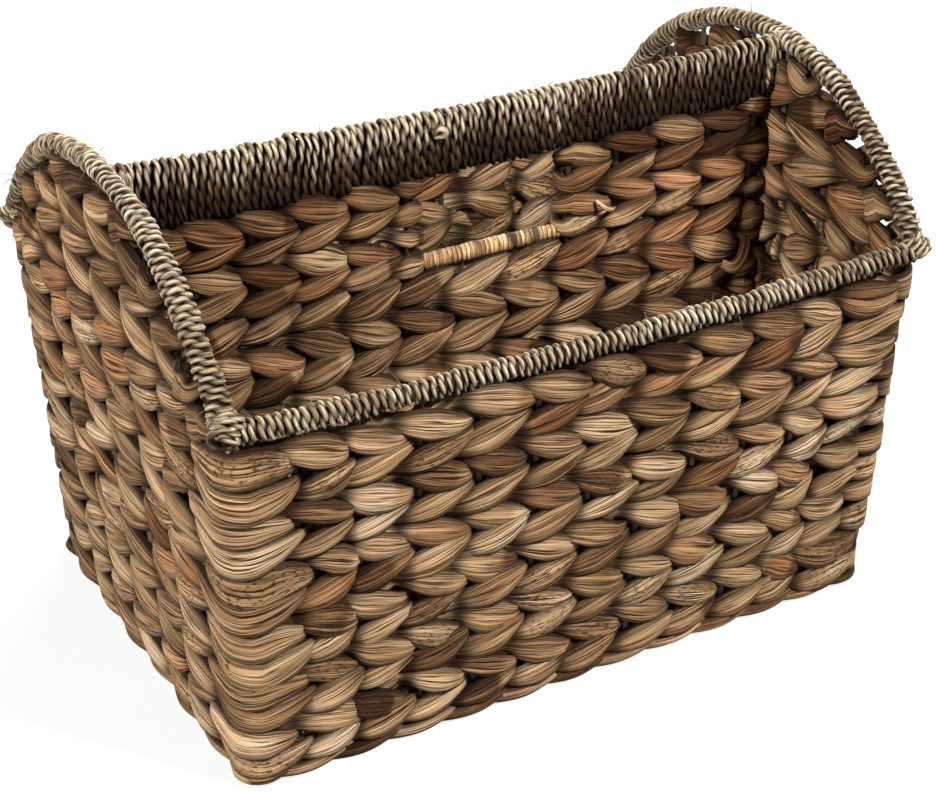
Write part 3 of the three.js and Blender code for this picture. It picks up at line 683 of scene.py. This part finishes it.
# a straight twined row: one closed strand along its stakes and back
# place(along, reach, z) gives the points
def stripRow(stakes, height, twist, tallShare, place, foldEnds, seed):
    cells = len(stakes) - 1
    steps = twining["stepsPerCell"]
    forth = np.linspace(0, cells, max(cells, 1) * steps + 1)
    lead = np.array(twine(forth, 0, twist, tallShare, seed))
    follow = np.array(twine(forth, 1, twist, tallShare, seed + 5))
    run = np.interp(forth, np.arange(cells + 1), stakes)
    turn = np.linspace(0, math.pi, folding["steps"] + 2)[1:-1]
    bulge = np.sin(turn)
    share = (1 - np.cos(turn)) / 2
    share = share * share * (3 - 2 * share)

    def fold(before, after, stake, end):
        across = before[:, None] + (after - before)[:, None] * share
        across[2] *= 1 - folding["narrower"] * bulge
        return stake + (end - stake) * bulge, across

    farRun, farFold = fold(lead[:, -1], follow[:, -1], stakes[-1], foldEnds[1])
    nearRun, nearFold = fold(follow[:, 0], lead[:, 0], stakes[0], foldEnds[0])
    along = np.concatenate([run, farRun, run[::-1], nearRun])
    values = np.concatenate([lead, farFold, follow[:, ::-1], nearFold], axis=1)
    tone, hue = stemTones(30, np.arange(len(along)) / steps, seed, *folding["tones"])
    # the colours run back into the start over the last fold, and the seam lies at a hidden neck
    mend = np.clip((np.arange(len(along)) - len(along)) / len(turn) + 1, 0, 1)
    tone, hue = tone + mend * (tone[0] - tone), hue + mend * (hue[0] - hue)
    toNeck = -round(twining["neck"] * steps)
    rolled = (np.roll(v, toNeck) for v in (along, *values, tone, hue))
    along, reach, rise, tall, thick, shade, tone, hue = rolled
    return strand(place(along, reach, height + rise), True, thick, tall, tone, hue ** folding["huePower"],
                  groove=twining["groove"], seed=seed, sides=20, blunt=twining["blunt"], shade=shade)


gable = {"rows": 5, "clearance": 0.3, "wrapRadius": 6.2, "strandReach": 7.2, "turnRoom": 8.0,
         "turnReach": 6.5, "leastCell": 9.0, "slack": 5.0, "endLift": 2, "endGap": 1.5, "wander": 0.8}


# rows under an arch, each round as many stakes as fit
def gableRows(sign, side):
    spacing = basket["rimDepth"] / basket["endCells"]
    inner = archRadius - gable["wrapRadius"] - gable["clearance"]
    topHalf = spacing / 2 + gable["strandReach"]
    top = archCentre + math.sqrt(inner ** 2 - topHalf ** 2)
    bottom = basket["wallTop"] + gable["clearance"]
    pitch = (top - bottom) / gable["rows"]
    for number in range(gable["rows"]):
        height = bottom + (number + 0.5) * pitch
        end = math.sqrt(inner ** 2 - (height + gable["endLift"] - archCentre) ** 2) - gable["endGap"]
        places = (np.arange(1, basket["endCells"]) - basket["endCells"] / 2) * spacing
        stakes = [y for y in places if abs(y) <= end - gable["turnRoom"]]
        slack = gable["slack"] * np.random.default_rng(340 + number + int(sign)).random(2)
        if end - gable["turnReach"] - stakes[-1] > gable["leastCell"]:
            stakes = [gable["turnReach"] - end + slack[0], *stakes, end - gable["turnReach"] - slack[1]]

        def place(along, reach, z):
            wander = gable["wander"] * drift(along, basket["rimDepth"], 40 + number)
            return np.column_stack([sign * rimX - reach, along, z + wander])

        folds = (slack[0] - end, end - slack[1])
        parts = stripRow(stakes, height, sign * (-1) ** number, pitch / twining["rowPitch"], place, folds,
                         300 + 11 * number + int(sign))
        meshPiece(f"{side}GableRow{number + 1}", *parts, hyacinth, "water_hyacinth",
                  [f"{side}_gable_course_{number + 1}"])


gableRows(1, "right")
gableRows(-1, "left")
print("gable rows twined")

# divider rows, below the hand hole and beside it
divider = {
    "foot": 12.8,
    "barHeight": 206.0,
    "lowerRows": 11,
    "upperRows": 4,
    "lowerTop": 201.0,
    "upperBottom": 201.3,
    "upperTop": 254.0,
    "leftCells": 5,
    "holeCells": 3,
    "rightCells": 4,
    "holeStart": -38.5,
    "holeEnd": 61.5,
    "topLift": (2.2, 5.0),  # mm the top row rises to meet the band, and more of it toward the ends
    "endRoom": (7.2, 5, 2.2, 0.3),  # the wall's strand, the fold, half a stake's seat and the clearance
    "foldReach": 6.8,
    "wander": 0.9,
}


def dividerStakes(z, first, last):
    half = float(halfWidthAt(np.array(z)))
    for room in divider["endRoom"]:
        half -= room
    left = np.linspace(-half, divider["holeStart"], divider["leftCells"] + 1)
    hole = np.linspace(divider["holeStart"], divider["holeEnd"], divider["holeCells"] + 1)
    right = np.linspace(divider["holeEnd"], half, divider["rightCells"] + 1)
    return list(np.concatenate([left, hole[1:], right[1:]])[first:last + 1])


def dividerRows(name, first, last, bottom, top, rows, node, seed):
    pitch = (top - bottom) / rows
    parts = []
    for number in range(rows):
        height = bottom + (number + 0.5) * pitch
        stakes = dividerStakes(height, first, last)

        def place(along, reach, z):
            wander = divider["wander"] * drift(along, basket["floorWidth"], 60 + number // 2)
            wander = wander * min(1, number / 2)
            if top == divider["upperTop"]:
                lift = divider["topLift"][0] + divider["topLift"][1] * (along / rimX) ** 2
                wander = wander + lift * (number + 1) / rows
            return np.column_stack([along, basket["dividerY"] - reach, z + wander])

        folds = (stakes[0] - divider["foldReach"], stakes[-1] + divider["foldReach"])
        parts.append(stripRow(stakes, height, (-1) ** number, pitch / twining["rowPitch"], place, folds,
                              seed + 13 * number))
    half = (len(parts) + 1) // 2
    meshPiece(name, *joinParts(parts[:half]), hyacinth, "water_hyacinth", [node])
    meshPiece(name + "Upper", *joinParts(parts[half:]), hyacinth, "water_hyacinth", [node])


holeFirst = divider["leftCells"]
holeLast = holeFirst + divider["holeCells"]
lastStake = holeLast + divider["rightCells"]
lowerField = (divider["foot"], divider["lowerTop"], divider["lowerRows"])
upperField = (divider["upperBottom"], divider["upperTop"], divider["upperRows"])
dividerRows("dividerBelow", 0, lastStake, *lowerField, "divider_weave_lower", 500)
dividerRows("dividerLeft", 0, holeFirst, *upperField, "divider_weave_left", 700)
dividerRows("dividerRight", holeLast, lastStake, *upperField, "divider_weave_right", 800)
print("divider twined")

# what all cords share: how the lay wanders, where a turn leans, and how the plies differ
plying = {"layWander": 1.2, "leanStart": 1.2, "toneStep": 0.05, "hue": 0.4, "hueSpread": 0.35, "shift": 0.37,
          "coreShadeTone": 0.1, "coreHue": 0.4}


# one cord wound round an axis, as tubes for its plies; a turn is round, or drawn out along upward
def woundCord(axis, sideways, upward, looks, seed):
    turns, perTurn = looks["turns"], looks["stepsPerTurn"]
    count = turns * perTurn + 1
    t = np.arange(count) / (count - 1)
    share = np.linspace(0, 1, len(axis))
    sideways, upward = np.broadcast_to(sideways, axis.shape), np.broadcast_to(upward, axis.shape)
    path, side, high = (np.column_stack([np.interp(t, share, rows[:, j]) for j in range(3)])
                        for rows in (axis, sideways, upward))
    onward = np.cross(side, high)
    onward /= np.linalg.norm(onward, axis=1)[:, None]
    radius, straight = looks["windRadius"], looks["straight"]
    around = 2 * math.pi * radius + 4 * straight
    turnShare = (t * turns) % 1.0
    run = turnShare * around
    halfRound = math.pi * radius
    lap = np.array([0, 2 * straight, 2 * straight + halfRound, 4 * straight + halfRound, around])
    angle = np.interp(run, lap, [0, 0, math.pi, math.pi, 2 * math.pi])
    slide = np.interp(run, lap, [-straight, straight, straight, -straight, -straight])
    outward = side * np.cos(angle)[:, None] + high * np.sin(angle)[:, None]
    turnNumber = t * turns
    swell = looks["wander"] * drift(turnNumber, turns, seed, waves=int(turns * 0.9))
    shift = looks["slip"] * drift(turnNumber, turns, seed + 1, waves=int(turns * 1.3))
    slant = looks["slant"] * np.sin(2 * math.pi * turnShare + plying["leanStart"])
    top = slide / max(straight, 1)  # 1 at the top of a drawn-out turn, -1 at its foot
    for where, height, spread in looks["knots"]:
        swell = swell + height * np.exp(-((t - where) / spread) ** 2) * np.clip(top, 0, 1)
    centre = path + high * slide[:, None] + outward * (radius + swell)[:, None]
    centre = centre + onward * (shift + slant)[:, None]
    length = np.concatenate([[0.0], np.cumsum(np.linalg.norm(np.diff(centre, axis=0), axis=1))])
    lay = 2 * math.pi * length / looks["lay"]
    lay = lay + plying["layWander"] * drift(turnNumber, turns, seed + 2, waves=20)
    cordSize = 1 + looks["uneven"] * drift(turnNumber, turns, seed + 4, waves=int(turns * 0.7))
    tilt = looks["tilt"]
    across = outward * math.cos(tilt) + onward * math.sin(tilt)
    along = onward * math.cos(tilt) - outward * math.sin(tilt)
    parts = []
    for ply in range(looks["plies"]):
        beta = lay + 2 * math.pi * ply / looks["plies"]
        gap = looks["plyOffset"] * cordSize
        plyCentre = centre + outward * (gap * np.cos(beta))[:, None] + onward * (gap * np.sin(beta))[:, None]
        toneDrift = drift(turnNumber, turns, seed + 60 + ply, waves=int(turns * 0.6))
        tone = looks["tone"] + looks["toneSpread"] * toneDrift + plying["toneStep"] * (ply - 0.5)
        # painted light and shade: the top of a drawn-out turn is drawn lighter, its foot darker
        tone = tone + looks["topShade"] * top
        hueDrift = drift(turnNumber, turns, seed + 90 + ply, waves=int(turns * 0.3))
        hue = np.clip(plying["hue"] + plying["hueSpread"] * hueDrift, 0, 1)
        # painted shade: a ply is drawn darker where it lies underneath the other
        inner = np.clip(0.55 + 0.7 * np.cos(beta), 0.06, 1.0)  # darker where a ply lies underneath
        thick, wide = looks["plyThick"] * cordSize, looks["plyWide"] * cordSize
        parts.append(tubeParts(plyCentre, across, along, thick, wide, False, tone, hue, seed=seed % 97,
                               vShift=ply * plying["shift"], sides=looks["sides"], blunt=1.0, shade=inner))
    # painted shade: a dark core stands for the shade in the gaps between the turns
    if looks["core"]:  # dark filling, so that nothing shows through between the turns
        flat = np.full(len(axis), radius * looks["core"])
        dark = np.full(len(axis), plying["coreShadeTone"])
        hue = np.full(len(axis), plying["coreHue"])
        parts.append(tubeParts(axis, sideways, upward, flat, flat + straight, False, dark, hue, blunt=0.8,
                               shade=dark))
    return joinParts(parts)


# a wound cord as a piece that stands for its CAD node
def cordPiece(name, cadNode, axis, sideways, upward, looks, seed, material=seagrass, slot="seagrass_cord"):
    meshPiece(name, *woundCord(axis, sideways, upward, looks, seed), material, slot, [cadNode])


# an axis along the width at one depth and height
def levelAxis(x, y, z):
    return np.column_stack([x, y + 0 * x, z + 0 * x])


rimCord = {
    "turns": 90,
    "stepsPerTurn": 24,
    "windRadius": 4.3,
    "straight": 0.0,
    "lay": 14.5,
    "plies": 2,
    "plyOffset": 0.85,
    "plyThick": 1.2,
    "plyWide": 1.25,
    "sides": 6,
    "wander": 0.5,
    "slip": 0.5,
    "slant": 1.7,
    "uneven": 0.22,
    "tilt": 0.15,
    "tone": 0.66,
    "toneSpread": 0.28,
    "topShade": 0.0,
    "knots": [],  # place along the cord, height in mm and spread
    "core": 0.85,  # share of the turn's radius
}
rimRun = {"half": 197, "points": 60, "wander": 0.8, "wanderSpan": 400}
archRun = {"share": 0.985, "points": 90, "wander": 0.8, "turns": 77}


def rimDropAt(x):
    return basket["rimSag"] * (1 - (x / rimX) ** 2)


def rimCordPiece(sign, side, seed):
    x = np.linspace(-rimRun["half"], rimRun["half"], rimRun["points"])
    wander = rimRun["wander"] * drift(x, rimRun["wanderSpan"], seed)
    axis = levelAxis(x, sign * rimY + wander, basket["rimHeight"] - rimDropAt(x))
    cordPiece(f"{side}RimCord", f"{side}_rim_wrap", axis, (0, 1, 0), (0, 0, 1), rimCord, seed)


rimCordPiece(-1, "front", 900)
rimCordPiece(1, "back", 950)


def archCordPiece(sign, side, seed):
    share = np.linspace(-archRun["share"], archRun["share"], archRun["points"])
    angle = share * archAngle
    out = np.column_stack([0 * angle, np.sin(angle), np.cos(angle)])
    axis = np.array([sign * rimX, 0, archCentre]) + out * archRadius
    axis[:, 0] += archRun["wander"] * drift(share + 1, 2, seed)
    looks = dict(rimCord, turns=archRun["turns"])
    cordPiece(f"{side}ArchCord", f"{side}_arch_wrap", axis, (1, 0, 0), out, looks, seed)


archCordPiece(1, "right", 1000)
archCordPiece(-1, "left", 1050)

# the wide band, wound on its rail, with painted light on the tops of its turns and painted shade at their
# feet
bandCord = dict(rimCord, turns=92, stepsPerTurn=56, windRadius=4.6, straight=11.7, lay=16.0, plyOffset=0.85,
                plyThick=1.15, plyWide=1.2, wander=0.8, slip=1.1, slant=1.6, uneven=0.2, tone=0.36,
                toneSpread=0.34, topShade=0.6,
                knots=[(0.177, 1.8, 0.01), (0.236, 3.2, 0.014), (0.82, 1.6, 0.012)])
band = {"halfLength": 195.0, "middle": 277.0, "points": 60}
bandX = np.linspace(-band["halfLength"], band["halfLength"], band["points"])
bandAxis = levelAxis(bandX, basket["dividerY"], band["middle"] - rimDropAt(bandX))
cordPiece("dividerBand", "band_winding", bandAxis, (0, -1, 0), (0, 0, 1), bandCord, 1100, brownSeagrass)

# one strip of raffia, so its lay is too long to show
barRaffia = dict(rimCord, turns=30, stepsPerTurn=20, windRadius=3.7, plies=1, plyOffset=0.0, plyThick=0.75,
                 plyWide=2.1, lay=1e5, tilt=0.25, wander=0.2, slip=0.3, slant=0.5, tone=0.6, toneSpread=0.15,
                 sides=8)
bar = {"inset": 7.5, "points": 30}
barX = np.linspace(divider["holeStart"] + bar["inset"], divider["holeEnd"] - bar["inset"], bar["points"])
barAxis = levelAxis(barX, basket["dividerY"], divider["barHeight"])
cordPiece("handHoleRaffia", "hand_hole_bar_wrap", barAxis, (0, -1, 0), (0, 0, 1), barRaffia, 1150,
          raffia, "raffia")

# knots of the same cord: at the rim's corners and where the band meets the arches
lashing = dict(rimCord, core=0, turns=4, windRadius=6.4, wander=0.5, slip=0.6, uneven=0.15, slant=1.6,
               stepsPerTurn=32, tone=0.6)
bandLashing = dict(lashing, windRadius=5.6, straight=9.0, turns=3, stepsPerTurn=56)
lashingRun = {"corner": (-3.5, 9), "lean": (0.5, 0.55, 0.67), "band": (11, 2), "drop": 15, "tilt": 0.3,
              "tiltStart": 190, "points": 20}


def lashings():
    parts = []
    run = lashingRun
    for number, (signX, signY) in enumerate(((-1, -1), (1, -1), (1, 1), (-1, 1))):
        corner = np.array([signX * rimX, signY * rimY, basket["rimHeight"]])
        along = np.array(run["lean"]) * [-signX, -signY, 1]
        along /= np.linalg.norm(along)
        out = np.cross(along, [signX, -signY, 0.0])
        out /= np.linalg.norm(out)
        axis = corner + np.linspace(*run["corner"], run["points"])[:, None] * along
        parts.append(woundCord(axis, out, np.cross(along, out), lashing, 1210 + number))
    bandTop = archCentre + math.sqrt(archRadius ** 2 - basket["dividerY"] ** 2)
    for number, sign in enumerate((-1, 1)):
        x = sign * np.linspace(rimX - run["band"][0], rimX - run["band"][1], run["points"])
        height = bandTop - run["drop"] + run["tilt"] * (np.abs(x) - run["tiltStart"])
        axis = levelAxis(x, basket["dividerY"], height)
        parts.append(woundCord(axis, (0, -1, 0), (0, 0, 1), bandLashing, 1230 + number))
    meshPiece("cordLashings", *joinParts(parts), seagrass, "seagrass_cord", [])


lashings()

# short fibres that stand off the cords
whiskers = {"count": 150, "length": (2.0, 5.5), "halfThick": 0.22, "seed": 1300, "archShare": 0.97,
            "reach": 185, "root": 5.6, "bandRoot": 5.8}


def cordWhiskers():
    dice = np.random.default_rng(whiskers["seed"])
    parts = []
    for number in range(whiskers["count"]):
        kind = number % 5  # the left arch, the right arch, the front rim, the back rim and the band
        side = -1 if kind in (0, 2) else 1
        if kind < 2:
            angle = dice.uniform(-whiskers["archShare"], whiskers["archShare"]) * archAngle
            radial = np.array([0, math.sin(angle), math.cos(angle)])
            axis = np.array([side * rimX, 0, archCentre]) + archRadius * radial
            turn = dice.uniform(0, 2 * math.pi)
            out = math.cos(turn) * np.array([1.0, 0, 0]) + math.sin(turn) * radial
            start = axis + out * whiskers["root"]
        else:
            x = dice.uniform(-whiskers["reach"], whiskers["reach"])
            turn = dice.uniform(0, 2 * math.pi if kind < 4 else math.pi)
            out = np.array([0, math.cos(turn), math.sin(turn)])
            onRim = np.array([x, side * rimY, basket["rimHeight"] - rimDropAt(x)])
            onBand = np.array([x, basket["dividerY"], band["middle"] + bandCord["straight"] - rimDropAt(x)])
            start = onRim + out * whiskers["root"] if kind < 4 else onBand + out * whiskers["bandRoot"]
        length = dice.uniform(*whiskers["length"])
        bend = dice.normal(0, 0.5, 3)
        t = np.linspace(0, 1, 6)[:, None]
        centre = start + out * length * t + bend * length * t ** 2
        flat, up = sectionFrame(centre + 1e-3 * t * [1, 1, 0], False)
        size = whiskers["halfThick"] * (1.1 - 0.8 * t[:, 0])
        tone = np.full(6, dice.uniform(0.5, 0.9))
        parts.append(tubeParts(centre, flat, up, size, size, False, tone, tone * 0.5, seed=number, sides=6,
                               blunt=1.0))
    meshPiece("cordWhiskers", *joinParts(parts), seagrass, "seagrass_cord", [])


cordWhiskers()
print("cords wound")

# loose strand ends: points in mm, half width, half thickness and tone
# the last pair of each is the way its flat side looks at the start and at the end
looseEnds = [
    (((184, -14, 178), (178, -22, 172), (172, -26, 166), (166, -26.5, 163.5), (160.5, -24, 166)),
     4.6, 0.9, 0.4, hyacinth, ((0, -1, 0), (0, -1, 0.4))),
    (((-25, -18, 281), (-23.5, -21.5, 283.5), (-21, -22, 282), (-21.5, -21.5, 279.5), (-24, -18, 278)),
     2.0, 1.6, 0.75, seagrass, ((0, -1, 0), (0, -1, 0))),
    (((88, -18, 214), (83, -22, 216), (78, -23, 219), (74, -21, 223)),
     1.5, 0.6, 0.75, raffia, ((0, -1, 0), (0, -1, 0))),
    (((203, -98, 241), (206, -110, 235), (207.5, -122, 227), (206, -132, 219), (202, -138, 212)),
     4.2, 0.9, 0.5, hyacinth, ((1, 0, 0.2), (0.5, -1, 0.2))),
]


def looseEndPieces():
    for number, (places, halfWide, halfThick, level, material, faces) in enumerate(looseEnds):
        knots = np.array(places, float)
        padded = np.vstack([2 * knots[0] - knots[1], knots, 2 * knots[-1] - knots[-2]])
        line = []
        for a, b, c, d in zip(padded, padded[1:], padded[2:], padded[3:]):
            t = np.linspace(0, 1, 9)[:-1, None]
            bend, twist = 2 * a - 5 * b + 4 * c - d, 3 * b - a - 3 * c + d
            line.append(0.5 * (2 * b + (c - a) * t + bend * t ** 2 + twist * t ** 3))
        centre = np.vstack([*line, knots[-1]])
        t = np.linspace(0, 1, len(centre))
        out, up = sectionFrame(centre, False)
        toward = np.cross(out, up)
        face = np.array(faces[0]) + (np.array(faces[1]) - np.array(faces[0])) * t[:, None]
        flat = np.cross(face, toward)
        flat /= np.linalg.norm(flat, axis=1)[:, None]
        wide = halfWide * (1 - 0.35 * t ** 3)  # narrower toward its end
        parts = tubeParts(centre, np.cross(toward, flat), flat, halfThick + 0 * t, wide, False, level + 0 * t,
                          0.5 + 0 * t, groove=0.12 * halfThick, seed=70 + number, sides=14)
        slot = "water_hyacinth" if material == hyacinth else "seagrass_cord"
        meshPiece(f"looseEnd{number + 1}", *parts, material, slot, [])


looseEndPieces()
print("loose ends laid")

# floor border: two strands laid round the foot
border = {"height": 5.3, "rise": 1.1, "swing": 3.2, "halfTall": 3.4, "halfThick": 3.6, "uneven": 0.3,
          "stepsPerCell": 14}


def borderPiece():
    phase = np.arange(2 * stakeCount * border["stepsPerCell"]) / border["stepsPerCell"]
    reach = border["swing"] * np.cos(math.pi * phase)
    rise = border["rise"] * np.sin(math.pi * phase)
    centre = wallPlace(phase, reach, border["height"] + rise)
    tone, hue = stemTones(60, phase, 1200, low=0.2, high=0.65)
    tall = border["halfTall"] + 0 * phase
    thick = border["halfThick"] + border["uneven"] * drift(phase, 2 * stakeCount, 1201, waves=40)
    parts = strand(centre, True, thick, tall, tone, hue, groove=0.3, seed=1202, sides=16)
    meshPiece("floorBorder", *parts, hyacinth, "water_hyacinth", ["floor_border"])


borderPiece()

# woven base: flat strands over and under cross strands
base = {"rows": 15, "columns": 11, "bottom": 4.5, "middle": 6.4, "halfTall": 1.2, "swing": 1.1,
        "inset": 4.0, "corner": 14.0, "crossHalf": 14.0, "wander": 0.5, "bulge": 0.05, "crossThinner": 0.8,
        "stemLength": 30}


def basePiece():
    bottom = np.array(base["bottom"])
    halfX, halfY = (float(half(bottom)) - base["inset"] for half in (halfWidthAt, halfDepthAt))
    pitch = 2 * halfY / base["rows"]
    spacing = 2 * halfX / base["columns"]
    corner = base["corner"]
    parts = []

    # half length of a strand that lies offset from the middle, within the rounded corners
    def reachAt(offset, half, other):
        edge = max(offset - (other - corner), 0)
        return half - corner + math.sqrt(max(corner ** 2 - edge ** 2, 0))

    # a flat strand with its own seeds for wander, tones and fibres; cross strands run from front to back
    def addStrand(run, offset, wave, wide, tall, span, seed, crossing):
        across = offset + base["wander"] * drift(run, span, seed)
        pair = (across, run) if crossing else (run, across)
        centre = np.column_stack([*pair, base["middle"] + wave])
        tone, hue = stemTones(14, run / base["stemLength"], seed + 100, low=0.3, high=0.8)
        parts.append(strand(centre, False, wide + 0 * run, tall + 0 * run, tone, hue, groove=0.2,
                            seed=seed + 200, sides=16, blunt=0.8))

    for number in range(base["rows"]):
        y = -halfY + (number + 0.5) * pitch
        end = reachAt(abs(y) + pitch / 4, halfX, halfY)
        x = np.linspace(-end, end, 200)
        wave = base["swing"] * np.cos(math.pi * (x / spacing + number))
        wide = pitch / 2 * (1 + base["bulge"] * np.cos(2 * math.pi * x / spacing))
        addStrand(x, y, wave, wide, base["halfTall"], 400, 1300 + number, False)
    for number in range(base["columns"]):
        x = (number + 0.5) * spacing - halfX
        end = reachAt(abs(x) + base["crossHalf"] / 2, halfY, halfX)
        y = np.linspace(-end, end, 150)
        wave = -base["swing"] * np.cos(math.pi * (x / spacing + (y + halfY) / pitch - 0.5))
        tall = base["crossThinner"] * base["halfTall"]
        addStrand(y, x, wave, base["crossHalf"], tall, 300, 1600 + number, True)
    meshPiece("wovenBase", *joinParts(parts), hyacinth, "water_hyacinth", ["base_weave"])


basePiece()
print("foot and base woven")

# wires stay as the frame has them
for name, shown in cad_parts.items():
    if not shown.hide_render:
        shown.data.materials.clear()
        shown.data.materials.append(wire)


# pale studio
studio = {
    "worldLight": 0.06,
    "key": (108.0, (0.8, -1.5, 2.0), 0.4),  # watts, place m, size m
    "fill": (68.0, (-1.95, -0.4, 1.3), 0.5),
    "top": (12.0, (0.8, 0.4, 2.2), 1.2),
    "back": (62.0, (1.3, 1.7, 1.4), 1.0),
    "floorGlow": 0.85,
    "floorSeen": (0.8, 0.8, 0.8),
    "floorBounce": (0.13, 0.13, 0.13),
    "aim": (0, 0, 0.12),
    "floorHalf": 6.0,
    "floorDrop": 0.0002,
}


def makeLamp(name, watts, place, size):
    data = bpy.data.lights.new(name, "AREA")
    data.energy = watts
    data.size = size
    lamp = placed(name, data)
    lamp.location = place
    aim = np.array(studio["aim"]) - np.array(place)
    lamp.rotation_euler = Vector(aim).to_track_quat("-Z", "Y").to_euler()


for name in ("key", "fill", "top", "back"):
    makeLamp(name, *studio[name])


# 1 for rays that see the white studio: the camera's, and those mirrored or let through by a surface
def whiteRays(tree):
    path = node(tree, "LightPath")
    clear = math2(tree, "MAXIMUM", path.outputs["Is Glossy Ray"], path.outputs["Is Transmission Ray"])
    return math2(tree, "MAXIMUM", path.outputs["Is Camera Ray"], clear)


def makeWorld():
    world = bpy.data.worlds.new("studio")
    scene.world = world
    world.use_nodes = True
    tree = world.node_tree
    tree.nodes.clear()
    seen = whiteRays(tree)
    dim = node(tree, "Background", inputs={"Color": (1, 1, 1, 1), "Strength": studio["worldLight"]})
    bright = node(tree, "Background", inputs={"Color": (1, 1, 1, 1), "Strength": 1.0})
    both = node(tree, "MixShader", inputs={0: seen, 1: dim.outputs[0], 2: bright.outputs[0]})
    node(tree, "OutputWorld", inputs={0: both.outputs[0]})


makeWorld()


def makeFloor():
    data = bpy.data.meshes.new("studioFloor")
    half = studio["floorHalf"]
    rim = [(-half, -half, 0), (half, -half, 0), (half, half, 0), (-half, half, 0)]
    data.from_pydata(rim, [], [(0, 1, 2, 3)])
    floor = placed("studioFloor", data)
    floor.location.z = -studio["floorDrop"]  # just under the basket
    material, tree = newMaterial("studio floor")
    tree.nodes.clear()
    seen = whiteRays(tree)
    colour = mixColour(tree, seen, studio["floorBounce"], studio["floorSeen"])
    matt = node(tree, "BsdfDiffuse", inputs={"Color": colour})
    glow = node(tree, "Emission", inputs={"Color": (1, 1, 1, 1), "Strength": 1.0})
    share = math2(tree, "MULTIPLY", seen, studio["floorGlow"])
    both = node(tree, "MixShader", inputs={0: share, 1: matt.outputs[0], 2: glow.outputs[0]})
    node(tree, "OutputMaterial", inputs={0: both.outputs[0]})
    data.materials.append(material)
    return floor


makeFloor()
print("studio set")
